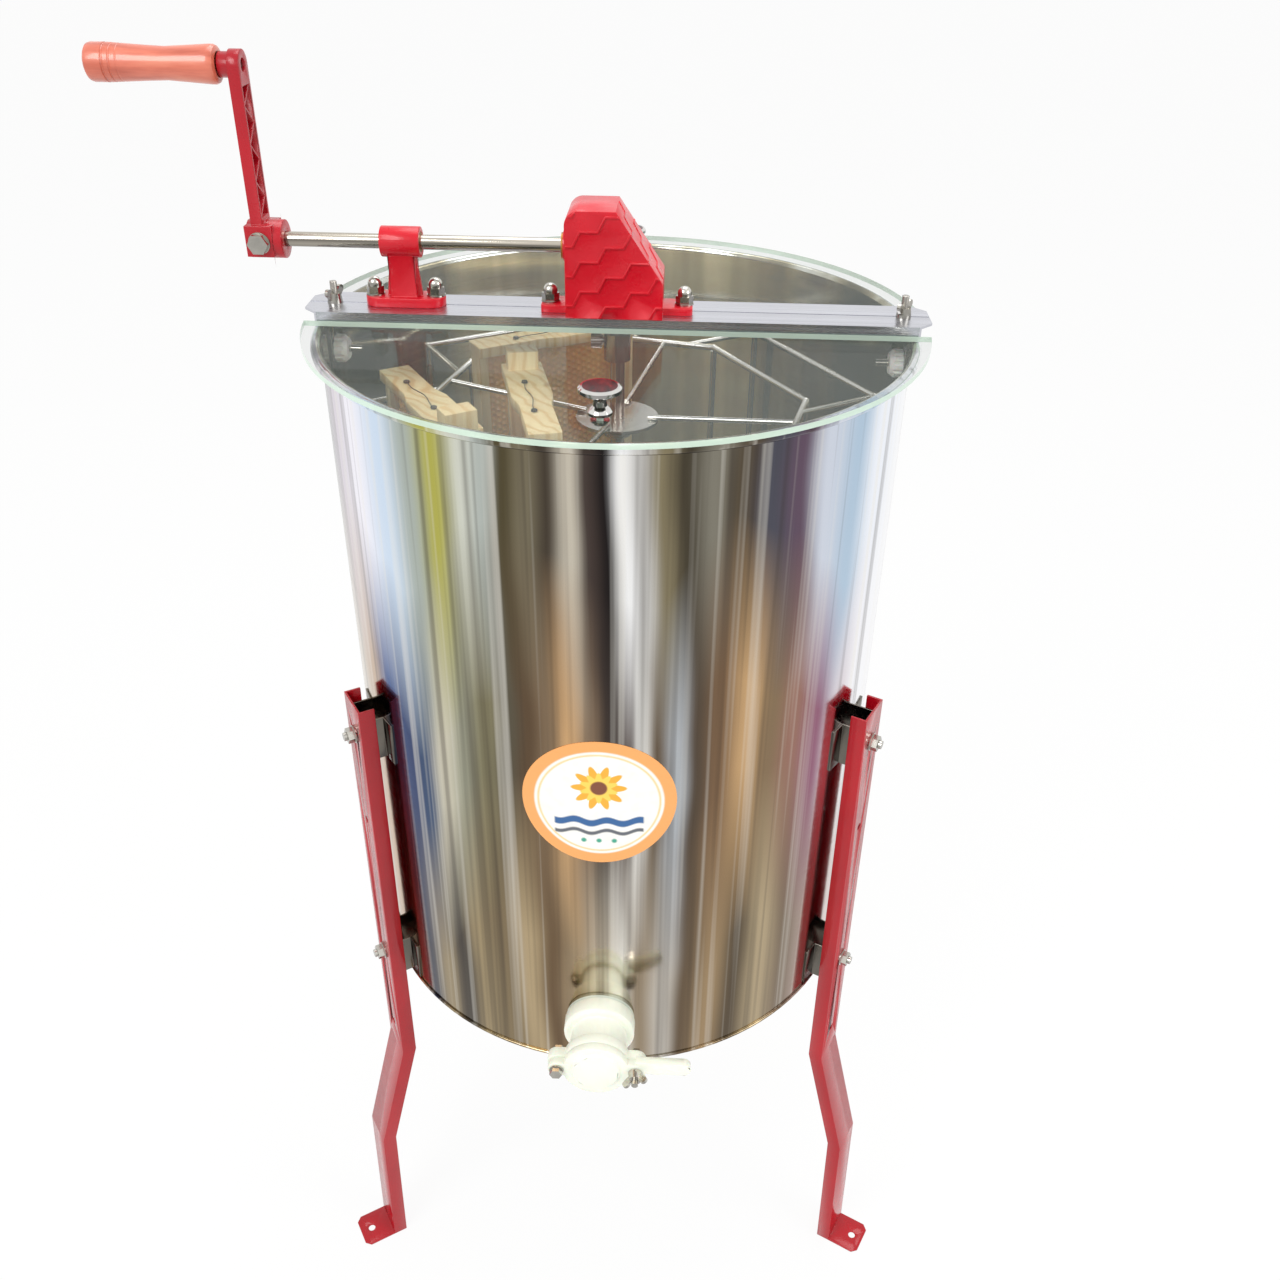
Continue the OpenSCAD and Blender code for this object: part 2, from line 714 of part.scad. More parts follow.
// Each bolt comes up through the bar; its nut stands on the foot it holds down
module bar_bolts() {
  color("gainsboro") for (x = bar_bolt_places()) {
    foot = x < -case_bolt_x ? ped_t : case_tab_t;
    translate([x, 0, bar_top - bar_t]) {
      translate([0, 0, -5]) hexagon(nut_af, 5);
      cylinder(d = bar_bolt_d, h = bar_t + foot + 9);
    }
  }
}

module acorn_nuts() {
  color("gainsboro") for (x = bar_bolt_places()) {
    foot = x < -case_bolt_x ? ped_t : case_tab_t;
    translate([x, 0, bar_top + foot]) difference() {
      union() {
        cylinder(d = nut_af + 3, h = 1.2);
        translate([0, 0, 1.2]) hexagon(nut_af, 6);
        translate([0, 0, 7.2]) cylinder(d = nut_af - 1, h = 2);
        translate([0, 0, 9.2]) intersection() {
          sphere(d = nut_af - 1);
          translate([-10, -10, 0]) cube(20);
        }
      }
      translate([0, 0, -1]) cylinder(d = bar_bolt_d + 0.1, h = 10.2);
    }
  }
}

// ---------- honey gate ----------
module gate_turn() {
  translate([0, 0, gate_zz]) rotate([90, 0, 0]) children();
}

module gate_body() {
  flange = 10;
  front = drum_r + gate_reach;
  color("ivory") gate_turn() difference() {
    union() {
      translate([0, 0, inner_wall - 14]) cylinder(d = gate_neck_d, h = 20);
      translate([0, 0, drum_r + 3]) cylinder(d = gate_collar_d, h = 14);
      translate([0, 0, drum_r + 17])
        cylinder(d1 = gate_collar_d, d2 = gate_collar_d - 6, h = 3);
      translate([0, 0, drum_r + 17]) cylinder(d = gate_neck_d + 4, h = gate_reach - 18);
      translate([0, 0, front - flange]) cylinder(d = gate_flange_d, h = flange);
      translate([-gate_bolt_x, -9, front - flange]) cube([2 * gate_bolt_x, 18, flange]);
      for (s = [-1, 1])
        translate([s * gate_bolt_x, 0, front - flange]) cylinder(r = 9, h = flange);
    }
    translate([0, 0, inner_wall - 20]) cylinder(d = gate_bore, h = 100);
    for (s = [-1, 1])
      translate([s * gate_bolt_x, 0, front - 30]) cylinder(d = gate_bolt_d + 0.1, h = 50);
  }
}

module gate_seal() {
  color("firebrick") difference() {
    gate_turn() cylinder(d = gate_collar_d - 2, h = drum_r + 3);
    gate_turn() cylinder(d = gate_neck_d + 0.2, h = 2 * drum_r);
    cylinder(r = drum_r, h = 2 * rim_z, $fn = fine);
  }
}

module gate_inner_nut() {
  color("ivory") difference() {
    intersection() {
      gate_turn() translate([0, 0, inner_wall - 12]) cylinder(d = gate_collar_d - 4, h = 20);
      cylinder(r = inner_wall, h = rim_z, $fn = fine);
    }
    gate_turn() cylinder(d = gate_neck_d + 0.2, h = 2 * drum_r);
    for (a = [22.5:45:337.5]) gate_turn() rotate([0, 0, a])
      translate([gate_collar_d / 2, 0, inner_wall - 14]) cylinder(d = 9, h = 20);
  }
}

module gate_pivot_bolt() {
  color("gainsboro") translate([-gate_bolt_x, gate_y + 10, gate_zz]) rotate([90, 0, 0]) {
    translate([0, 0, -5]) hexagon(10, 5);
    cylinder(d = gate_bolt_d, h = 10 + lay_gap + flap_t + 1.5);
    translate([0, 0, 10 + 2 * lay_gap + flap_t]) {
      cylinder(d = 13, h = 1.2);
      translate([0, 0, 1.2]) hexagon(10, 4.5);
    }
  }
}

module gate_clamp_bolt() {
  color("gainsboro") translate([gate_bolt_x, gate_y + 10, gate_zz]) rotate([90, 0, 0]) {
    translate([0, 0, -5]) hexagon(10, 5);
    cylinder(d = gate_bolt_d, h = 10 + flap_t + 14);
  }
}

module gate_flap() {
  slot = gate_bolt_d + 2;
  color("honeydew") translate([0, gate_y - lay_gap, gate_zz]) rotate([90, 0, 0])
    difference() {
      union() {
        cylinder(d = gate_flange_d, h = flap_t);
        translate([0, 0, flap_t]) cylinder(d1 = gate_flange_d - 14, d2 = gate_flange_d - 18, h = 2);
        translate([-gate_bolt_x, -8, 0]) cube([gate_bolt_x, 16, flap_t]);
        translate([-gate_bolt_x, 0, 0]) cylinder(r = 8, h = flap_t);
        translate([0, -9, 0]) cube([gate_bolt_x + 9, 18, flap_t]);
        translate([gate_bolt_x, -1, 0]) cube([lever_len - gate_bolt_x - 7, 14, flap_t]);
        translate([lever_len - 7, 6, 0]) cylinder(r = 7, h = flap_t);
      }
      translate([-gate_bolt_x, 0, -1]) cylinder(d = gate_bolt_d + 2 * run_gap, h = 20);
      translate([gate_bolt_x, 0, -1]) cylinder(d = slot, h = 20);
      translate([gate_bolt_x - slot / 2 - 0.5, -12, -1]) cube([slot + 0.5, 12, 20]);
    }
}

module gate_wing_nut() {
  color("gainsboro") translate([gate_bolt_x, gate_y - flap_t - 2 * lay_gap, gate_zz])
    rotate([90, 0, 0]) rotate([0, 0, 25]) wing_nut(gate_bolt_d);
}

// ---------- drive ----------
// Half of a tooth's width as a turn about the axis, at an angle off the pitch cone
function tooth_half(cone, off) =
  (PI * gear_r / gear_teeth * 0.4 - apex * off * PI / 180 * tan(20))
  / (apex * sin(cone + off)) * 180 / PI;

// Bevel teeth on the plane far from the apex, tapering towards the apex above it
module bevel_teeth(teeth, cone, away, phase) {
  tip = 2.7;
  root = 4.2;
  long = tooth_face * cos(cone);
  pts = [for (i = [0:teeth - 1]) let (a = 360 * i / teeth + phase)
    each [for (p = [[-1, -root], [-1, tip], [1, tip], [1, -root]])
      let (r = away * tan(cone + p[1]), w = a + p[0] * tooth_half(cone, p[1]))
        [r * cos(w), r * sin(w)]]];
  linear_extrude(long, scale = 1 - long / away) polygon(pts);
}

module bevel_pinion() {
  cone = atan(pinion_r / gear_r);
  base = bar_top + 2 + lay_gap;
  teeth_z = shaft_z - gear_r;
  color("dimgray") difference() {
    union() {
      translate([0, 0, teeth_z]) bevel_teeth(pinion_teeth, cone, gear_r, 0);
      translate([0, 0, base]) cylinder(d = 15.2, h = teeth_z - base);
    }
    translate([0, 0, base - 1]) cylinder(d = drive_d - 4, h = 60);
  }
}

module bevel_gear() {
  cone = atan(gear_r / pinion_r);
  color("dimgray") difference() {
    union() {
      translate([-pinion_r, 0, shaft_z]) rotate([0, 90, 0])
        bevel_teeth(gear_teeth, cone, pinion_r, 180 / gear_teeth);
      along_x(-pinion_r - 4, 0, shaft_z, 31, 4);
      along_x(-pinion_r - 14, 0, shaft_z, 22, 14);
    }
    along_x(-60, 0, shaft_z, crank_shaft_d, 70);
  }
}

module drive_shaft() {
  low = stand_h + sleeve_z + sleeve_l / 2 + 0.3;
  step = bar_top + 2 + lay_gap;
  color("silver") {
    translate([0, 0, low]) cylinder(d = drive_d, h = step - low);
    translate([0, 0, step]) cylinder(d = drive_d - 4, h = shaft_z - gear_r + 5 - step);
  }
}

module coupling_sleeve() {
  color("gray") translate([0, 0, stand_h + sleeve_z]) difference() {
    cylinder(d = sleeve_d, h = sleeve_l);
    translate([0, 0, -1]) cylinder(d = drive_d, h = sleeve_l + 2);
    along_x(-sleeve_d, 0, sleeve_l * 0.7, 5 + 2 * run_gap, sleeve_d);
  }
}

module thumb_screw() {
  z = stand_h + sleeve_z + sleeve_l * 0.7;
  color("gainsboro") difference() {
    union() {
      along_x(-sleeve_d / 2 - 6, 0, z, 5, sleeve_d / 2 + 6 - drive_d / 2 - lay_gap);
      along_x(-sleeve_d / 2 - 11, 0, z, 15, 9);
      along_x(-sleeve_d / 2 - 2, 0, z, 9, 2 - lay_gap);
    }
    for (a = [0:30:330]) translate([-sleeve_d / 2 - 12, 0, z]) rotate([a, 0, 0])
      translate([0, 8, 0]) rotate([0, 90, 0]) cylinder(d = 2.4, h = 9.5);
  }
}

module crank_shaft() {
  far = arm_x + arm_t + hub_out - 4;
  color("silver") along_x(-far, 0, shaft_z, crank_shaft_d, far + 1);
}

// ---------- crank ----------
module crank_arm() {
  top = shaft_z + crank_throw;
  near = -arm_x;
  back = near - arm_t;
  wall = 3;
  pocket = arm_t - 3;
  bays = 7;
  low = shaft_z + hub_d / 2 + 3;
  step = (top - arm_w / 2 - 3 - low) / bays;
  in_w = arm_w - 2 * wall;
  color("crimson") difference() {
    union() {
      along_x(back - hub_out, 0, shaft_z, hub_d, hub_out + arm_t + hub_l);
      translate([back - hub_out, -hub_d / 2, shaft_z - hub_d / 2 + 4])
        cube([hub_out + arm_t + 8, hub_d, hub_d - 6]);
      along_x(back - boss_l, 0, top, boss_d, boss_l + 1);
      along_x(back, 0, top, arm_w, arm_t);
      difference() {
        translate([back, -arm_w / 2, shaft_z]) cube([arm_t, arm_w, crank_throw]);
        translate([near - pocket, -in_w / 2, low]) cube([pocket + 1, in_w, bays * step]);
      }
      translate([near - pocket, 0, low]) rotate([90, 0, 90])
        linear_extrude(pocket - 0.5) for (i = [0:bays - 1]) {
          s = i % 2 == 0 ? 1 : -1;
          polygon([[-s * in_w / 2, i * step - 1.1], [s * in_w / 2, (i + 1) * step - 1.1],
            [s * in_w / 2, (i + 1) * step + 1.1], [-s * in_w / 2, i * step + 1.1]]);
        }
    }
    along_x(back - hub_out + 4, 0, shaft_z, crank_shaft_d, 60);
    along_x(back - boss_l - 1, 0, top, spindle_d, boss_l + arm_t + 2);
    along_y(back + arm_t - 3, -hub_d, shaft_z, 10.1, hub_d);
  }
}

module crank_bolt() {
  x = -arm_x - 3;
  color("gainsboro") {
    along_y(x, -hub_d / 2 - 2, shaft_z, 10, hub_d / 2 + 2 - crank_shaft_d / 2);
    along_y(x, -hub_d / 2 - 1.4, shaft_z, 18, 1.4);
    translate([x, -hub_d / 2 - 1.4, shaft_z]) rotate([90, 0, 0]) hexagon(15, 5.5);
  }
}

module grip_spindle() {
  start = -arm_x - 2;
  end = -grip_x - grip_l + 9;
  color("silver") along_x(end, 0, shaft_z + crank_throw, spindle_d, start - end);
}

module grip() {
  r = grip_d / 2;
  waist = grip_waist / 2;
  color("salmon") translate([-grip_x, 0, shaft_z + crank_throw]) rotate([0, -90, 0])
    difference() {
      rotate_extrude() polygon([[0, 0], [r - 3, 0], [r - 1, 1], [r, 3], [r, 7],
        [waist + 1, grip_l * 0.25], [waist, grip_l * 0.4], [waist + 0.6, grip_l * 0.55],
        [r - 0.8, grip_l - 30], [r, grip_l - 16], [r, grip_l - 4],
        [r - 0.8, grip_l - 1.5], [r - 3, grip_l], [0, grip_l]]);
      for (k = [0:2]) translate([0, 0, grip_l - 27 + 5.5 * k]) rotate_extrude()
        translate([r + 0.3, 0]) circle(d = 2.4);
      translate([0, 0, -1]) cylinder(d = spindle_d + 2 * run_gap, h = grip_l - 6);
      translate([0, 0, -1]) cylinder(d = grip_d - 10, h = 6);
    }
}

// ---------- basket ----------
// Corner of the inner ring, as its distance along a pocket from the pocket's middle
function ring_corner() = (corner_r - inner_r * cos(45)) / sin(45);
function return_r() = (corner_r - pocket_half * sin(45)) / cos(45);

module ring(z) {
  c = ring_corner();
  for (k = [0:3]) rotate([0, 0, basket_turn + 90 * k]) {
    rod([inner_r, -c, z], [inner_r, c, z], rod_d);
    rod([inner_r, c, z], [c, inner_r, z], rod_d);
    for (s = [-1, 1]) {
      translate([inner_r, s * c, z]) sphere(d = rod_d + weld);
      rod([outer_r, s * pocket_half, z], [return_r(), s * pocket_half, z], thin_rod_d);
      translate([outer_r, s * pocket_half, z]) sphere(d = rod_d + weld);
    }
    rod([outer_r, -pocket_half, z], [outer_r, pocket_half, z], rod_d);
  }
}

module spokes(from_z, to_z) {
  for (k = [0:3]) rotate([0, 0, basket_turn + 45 + 90 * k])
    rod([plate_d / 2 - 8, 0, from_z], [corner_r, 0, to_z], thin_rod_d);
}

module basket_top() {
  z = stand_h + plate_z;
  color("silver") difference() {
    union() {
      ring(stand_h + basket_top_z);
      spokes(z + plate_t + thin_rod_d / 2 - 0.5, stand_h + basket_top_z);
      translate([0, 0, z]) cylinder(d = plate_d, h = plate_t);
      translate([0, 0, z - 14]) cylinder(d = drive_d + 12, h = 14);
    }
    translate([0, 0, z - 20]) cylinder(d = drive_d, h = 60);
  }
}

module basket_bottom() {
  z = stand_h + basket_low_z;
  color("silver") difference() {
    union() {
      ring(z);
      spokes(z, z);
      for (k = [0:3]) rotate([0, 0, basket_turn + 90 * k]) for (s = [-1, 1])
        rod([floor_bar, s * floor_bar, z], [outer_r, s * floor_bar, z], thin_rod_d);
      translate([0, 0, z - plate_t / 2]) cylinder(d = plate_d, h = plate_t);
      translate([0, 0, z]) cylinder(d = drive_d + 12, h = 14);
    }
    translate([0, 0, z - 20]) cylinder(d = drive_d, h = 60);
  }
}

module basket_posts() {
  weld_r = (rod_d + weld) / 2;
  low = stand_h + basket_low_z + weld_r;
  tall = basket_top_z - basket_low_z - 2 * weld_r;
  c = ring_corner();
  color("silver") for (k = [0:3]) rotate([0, 0, basket_turn + 90 * k])
    for (s = [-1, 1]) {
      translate([inner_r, s * c, low]) cylinder(d = rod_d, h = tall);
      translate([outer_r, s * pocket_half, low]) cylinder(d = rod_d, h = tall);
    }
}

module basket_shaft() {
  low = seat_z + cup_h - cup_bore_h + 2 + lay_gap;
  color("silver") translate([0, 0, low])
    cylinder(d = drive_d, h = stand_h + sleeve_z + sleeve_l / 2 - lay_gap - low);
}

// ---------- hive frames ----------
// Stands a frame on the floor bars: side 1 puts its top bar ahead, -1 behind
module stand_frame(turn, r, slide, side) {
  rotate([0, 0, basket_turn + turn]) translate([r, side * slide, frame_z])
    mirror([0, side < 0 ? 1 : 0, 0]) children();
}

module stand_beside() {
  rotate([0, 0, basket_turn]) translate([beside_x, beside_y, frame_z])
    rotate([0, 0, beside_turn]) children();
}

module hive_frame() {
  half = frame_h / 2;
  color("wheat") {
    translate([-top_bar_w / 2, half - top_bar_t, 0]) cube([top_bar_w, top_bar_t, bar_len]);
    for (z = [lug_len, bar_len - lug_len - end_t]) translate([0, 0, z])
      linear_extrude(end_t) polygon([[-end_w / 2, half], [-end_w / 2, 0],
        [-top_bar_w / 2, -end_w / 2], [-top_bar_w / 2, -half], [top_bar_w / 2, -half],
        [top_bar_w / 2, -end_w / 2], [end_w / 2, 0], [end_w / 2, half]]);
    translate([-top_bar_t / 2, -half, lug_len + end_t])
      cube([top_bar_t, end_t, bar_len - 2 * lug_len - 2 * end_t]);
  }
}

module comb() {
  low = lug_len + end_t;
  color("goldenrod") translate([-2, end_t - frame_h / 2, low])
    cube([4, frame_h - top_bar_t - end_t, bar_len - 2 * low]);
}

module hive_frame_front() { stand_frame(180, frame_r, frame_slide, 1) hive_frame(); }
module comb_front() { stand_frame(180, frame_r, frame_slide, 1) comb(); }
module hive_frame_rear() { stand_frame(90, loose_r, loose_slide, -1) hive_frame(); }
module comb_rear() { stand_frame(90, loose_r, loose_slide, -1) comb(); }
module hive_frame_loose() { stand_beside() hive_frame(); }
module comb_loose() { stand_beside() comb(); }

// ---------- lids ----------
// Side is -1 for the front lid and 1 for the rear lid
module lid(side) {
  edge = bar_w / 2 + lid_gap;
  color([0.85, 0.95, 0.9, 0.4]) translate([0, 0, rim_z + lay_gap]) difference() {
    intersection() {
      cylinder(r = drum_r + lid_over, h = lid_t, $fn = fine);
      translate([-2 * drum_r, side > 0 ? edge : -2 * drum_r - edge, 0])
        cube([4 * drum_r, 2 * drum_r, lid_t]);
    }
    translate([0, side * knob_y, -1]) cylinder(d = 5.2, h = lid_t + 2);
  }
}

module front_lid() { lid(-1); }
module rear_lid() { lid(1); }

module knob(side) {
  r = knob_d / 2;
  color("silver") translate([0, side * knob_y, rim_z + lay_gap]) {
    translate([0, 0, lid_t]) difference() {
      rotate_extrude() polygon([[0, 0], [9, 0], [9, 2], [7.6, 4], [5.2, knob_h * 0.3],
        [4.8, knob_h * 0.5], [6.5, knob_h * 0.68], [r - 3, knob_h - 6], [r, knob_h - 4],
        [r, knob_h - 1.5], [r - 1.5, knob_h], [0, knob_h]]);
      translate([0, 0, knob_h - 1.5]) cylinder(r = r - 3, h = 3);
    }
    cylinder(d = 5, h = lid_t);
    translate([0, 0, -1]) cylinder(d = 14, h = 1);
    translate([0, 0, -3.5]) cylinder(d = 9, h = 2.5);
  }
}

module knob_cap(side) {
  color("maroon") translate([0, side * knob_y, rim_z + lay_gap + lid_t + knob_h - 1.5])
    cylinder(r = knob_d / 2 - 3, h = 1.6);
}

module front_knob() { knob(-1); }
module rear_knob() { knob(1); }
module front_knob_cap() { knob_cap(-1); }
module rear_knob_cap() { knob_cap(1); }

drum_wall();
drum_bottom();
pivot_cup();
pivot_bush();
label_plate();
leg_left();
leg_right();
leg_rear();
leg_bracket_left();
leg_bracket_right();
leg_bracket_rear();
leg_bolts();
leg_nuts();
cross_bar();
clamp_bracket_left();
clamp_bracket_right();
wall_bolts();
wall_cap_nuts();
wing_nut_left();
wing_nut_right();
gear_case();
case_bush();
bar_bush();
pedestal();
pedestal_bush();
bar_bolts();
acorn_nuts();
gate_body();
gate_seal();
gate_inner_nut();
gate_pivot_bolt();
gate_clamp_bolt();
gate_flap();
gate_wing_nut();
basket_shaft();
drive_shaft();
coupling_sleeve();
thumb_screw();
bevel_pinion();
basket_top();
basket_posts();
basket_bottom();
hive_frame_front();
hive_frame_rear();
hive_frame_loose();
comb_front();
comb_rear();
comb_loose();
crank_shaft();
bevel_gear();
crank_arm();
crank_bolt();
grip_spindle();
grip();
front_lid();
rear_lid();
front_knob();
rear_knob();
front_knob_cap();
rear_knob_cap();
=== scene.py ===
"""Looks of a hand-cranked honey extractor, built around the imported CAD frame. Metres and degrees."""

import math

import bmesh
import bpy
from mathutils import Matrix, Vector


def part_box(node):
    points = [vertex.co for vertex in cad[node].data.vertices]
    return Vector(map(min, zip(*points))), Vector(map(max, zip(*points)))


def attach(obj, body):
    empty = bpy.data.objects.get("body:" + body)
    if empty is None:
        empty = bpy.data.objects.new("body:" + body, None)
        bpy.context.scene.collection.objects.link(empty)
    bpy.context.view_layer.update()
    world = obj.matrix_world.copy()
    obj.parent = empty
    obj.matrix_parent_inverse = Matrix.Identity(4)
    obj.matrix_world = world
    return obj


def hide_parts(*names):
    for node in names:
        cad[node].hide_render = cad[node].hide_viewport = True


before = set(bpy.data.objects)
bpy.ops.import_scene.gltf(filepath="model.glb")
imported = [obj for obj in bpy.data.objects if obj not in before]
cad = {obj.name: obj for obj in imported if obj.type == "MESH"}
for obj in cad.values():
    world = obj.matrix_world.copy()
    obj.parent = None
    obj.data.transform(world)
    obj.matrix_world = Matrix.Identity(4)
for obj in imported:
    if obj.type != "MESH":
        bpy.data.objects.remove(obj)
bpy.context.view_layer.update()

UP = Vector((0.0, 0.0, 1.0))


# ---------------------------------------------------------------- materials


class Material:
    """A node material. Most of its methods add a node and return its first output."""

    def __init__(self, name, **values):
        self.data = bpy.data.materials.new(name)
        self.data.use_nodes = True
        self.tree = self.data.node_tree
        self.shader = self.tree.nodes["Principled BSDF"]
        self.point = self.node("ShaderNodeTexCoord").outputs["Object"]
        for key, value in values.items():
            self.set(key.replace("_", " "), value)

    def node(self, kind, inputs=None, **props):
        n = self.tree.nodes.new(kind)
        for key, value in props.items():
            setattr(n, key, value)
        for key, value in (inputs or {}).items():
            self.put(n.inputs[key], value)
        return n

    def put(self, socket, value):
        """Links a socket to an output, or sets its value."""
        if isinstance(value, bpy.types.NodeSocket):
            self.tree.links.new(value, socket)
        elif socket.type == "RGBA":
            socket.default_value = (*value, 1.0)
        else:
            socket.default_value = value

    def set(self, name, value):
        self.put(self.shader.inputs[name], value)

    def math(self, op, a, b=0.0, c=0.0):
        return self.node("ShaderNodeMath", {0: a, 1: b, 2: c}, operation=op).outputs[0]

    def scaled(self, scale):
        """The object's own point, times one number or a number for each axis."""
        scale = scale if isinstance(scale, tuple) else (scale,) * 3
        return self.node("ShaderNodeMapping", {"Vector": self.point, "Scale": scale}).outputs[0]

    def noise(self, scale, detail=3.0, rough=0.5):
        fill = {"Vector": self.scaled(scale), "Scale": 1.0, "Detail": detail, "Roughness": rough}
        return self.node("ShaderNodeTexNoise", fill).outputs[0]

    def ramp(self, value, stops, ease="LINEAR"):
        """A tone by value: pairs of a place from 0 to 1 and a colour, or a grey."""
        n = self.node("ShaderNodeValToRGB", {0: value})
        n.color_ramp.interpolation = ease
        marks = n.color_ramp.elements
        while len(marks) < len(stops):
            marks.new(0.5)
        for mark, (place, tint) in zip(marks, stops):
            mark.position = place
            tint = (tint,) * 3 if isinstance(tint, float) else tint
            mark.color = (*tint, 1.0)
        return n.outputs[0]

    def range(self, value, low, high, new_low=0.0, new_high=1.0):
        fill = {0: value, 1: low, 2: high, 3: new_low, 4: new_high}
        return self.node("ShaderNodeMapRange", fill).outputs[0]

    def mix(self, share, a, b, blend="MIX"):
        n = self.node("ShaderNodeMix", data_type="RGBA", blend_type=blend)
        self.put(n.inputs[0], share)
        self.put(n.inputs[6], a)
        self.put(n.inputs[7], b)
        return n.outputs[2]

    def bump(self, height, depth):
        bumps = self.node("ShaderNodeBump", {"Height": height, "Distance": depth})
        self.set("Normal", bumps.outputs[0])

    def axes(self, point=None):
        """A vector's parts along x, y and z: the object's own point if none is given."""
        return self.node("ShaderNodeSeparateXYZ", {0: point or self.point}).outputs

    def normal(self):
        """The parts of the smooth surface normal along x, y and z."""
        return self.axes(self.node("ShaderNodeNewGeometry").outputs["Normal"])


def rgb(red, green, blue):
    """A screen colour, 0 to 255, as the linear colour that shaders take."""

    def one(c):
        c /= 255
        return c / 12.92 if c <= 0.04045 else ((c + 0.055) / 1.055) ** 2.4

    return one(red), one(green), one(blue)


# Painted reflections of the room on the polished wall, at three heights: pairs of an angle round the
# drum's front, in degrees from the gate, and a screen colour.
REFLECTION_REACH = 80
TOP_REFLECTIONS = (
    (-80, (214, 214, 224)), (-68, (84, 80, 92)), (-60, (206, 196, 208)), (-52, (244, 242, 250)),
    (-43, (206, 222, 240)), (-36, (170, 178, 170)), (-30, (176, 172, 84)), (-24, (206, 208, 196)),
    (-20, (176, 182, 176)), (-16, (84, 76, 54)), (-12, (120, 112, 92)), (-8, (74, 66, 56)),
    (-4, (196, 188, 172)), (-1, (70, 60, 56)), (2, (36, 32, 32)), (5, (240, 240, 240)),
    (8, (196, 194, 190)), (12, (132, 122, 96)), (16, (72, 66, 54)), (21, (128, 124, 112)),
    (26, (86, 76, 62)), (32, (80, 80, 90)), (38, (98, 80, 96)), (44, (204, 210, 222)),
    (52, (174, 196, 216)), (60, (236, 240, 248)), (80, (250, 250, 252)),
)
MIDDLE_REFLECTIONS = (
    (-80, (220, 214, 206)), (-66, (200, 186, 166)), (-56, (190, 160, 132)), (-49, (36, 78, 138)),
    (-43, (12, 46, 98)), (-38, (48, 72, 106)), (-33, (206, 200, 180)), (-28, (160, 160, 140)),
    (-23, (134, 128, 100)), (-18, (92, 86, 72)), (-14, (96, 78, 60)), (-10, (128, 108, 86)),
    (-6, (204, 164, 118)), (-2, (140, 118, 96)), (1, (66, 58, 54)), (5, (88, 76, 70)),
    (7, (236, 234, 228)), (10, (104, 90, 74)), (14, (176, 180, 184)), (18, (88, 76, 64)),
    (23, (126, 100, 76)), (29, (196, 160, 116)), (35, (134, 112, 86)), (41, (150, 110, 96)),
    (48, (140, 84, 110)), (54, (214, 204, 210)), (64, (246, 246, 250)),
)
LOW_REFLECTIONS = (
    (-80, (196, 176, 156)), (-62, (176, 140, 108)), (-52, (198, 158, 118)), (-44, (40, 44, 60)),
    (-38, (150, 134, 104)), (-32, (72, 66, 58)), (-26, (164, 146, 112)), (-20, (128, 112, 86)),
    (-15, (178, 158, 124)), (-10, (110, 90, 68)), (-5, (160, 140, 112)), (0, (196, 184, 164)),
    (4, (232, 228, 218)), (8, (150, 134, 112)), (13, (196, 190, 180)), (17, (104, 88, 70)),
    (23, (158, 134, 102)), (29, (88, 76, 60)), (36, (176, 158, 126)), (43, (116, 98, 78)),
    (50, (160, 140, 128)), (58, (206, 190, 184)), (80, (224, 214, 208)),
)


def front_tone(m, angle, z):
    """The painted reflections on the wall's front: streaks that bend as they rise, and change between
    the heights.
    """
    most_bend = 9.0
    low_to_middle, middle_to_top = (0.22, 0.5), (0.62, 0.86)
    sway = m.math("SUBTRACT", m.noise((4, 4, 3.2), 2), 0.5)
    bent = m.math("MULTIPLY_ADD", sway, most_bend, angle)
    place = m.math("PINGPONG", m.math("MULTIPLY_ADD", bent, 0.5 / REFLECTION_REACH, 0.5), 1.0)

    def streaks(pairs):
        stops = [(0.5 + 0.5 * a / REFLECTION_REACH, rgb(*tint)) for a, tint in pairs]
        return m.ramp(place, stops, "EASE")

    wall_low, wall_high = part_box("drum_wall")
    rise = m.range(z, wall_low.z, wall_high.z)
    rise = m.math("MULTIPLY_ADD", m.math("SUBTRACT", m.noise((9, 9, 1.5), 2), 0.5), 0.5, rise)
    tone = m.mix(m.range(rise, *low_to_middle), streaks(LOW_REFLECTIONS), streaks(MIDDLE_REFLECTIONS))
    tone = m.mix(m.range(rise, *middle_to_top), tone, streaks(TOP_REFLECTIONS))
    # Thin dark and bright streaks of painted reflection.
    thin = m.noise((85, 85, 0.8), 2, 0.6)
    tone = m.mix(m.range(thin, 0.54, 0.72, 0.0, 0.5), tone, rgb(58, 50, 44))
    return m.mix(m.range(thin, 0.46, 0.3, 0.0, 0.4), tone, rgb(236, 232, 222))


def faces_axis(m, x, y):
    """1 where a wall faces the drum's axis, 0 where it faces away or up."""
    nx, ny, _ = m.normal()
    outward = m.math("ADD", m.math("MULTIPLY", x, nx), m.math("MULTIPLY", y, ny))
    return m.math("LESS_THAN", outward, -0.02)


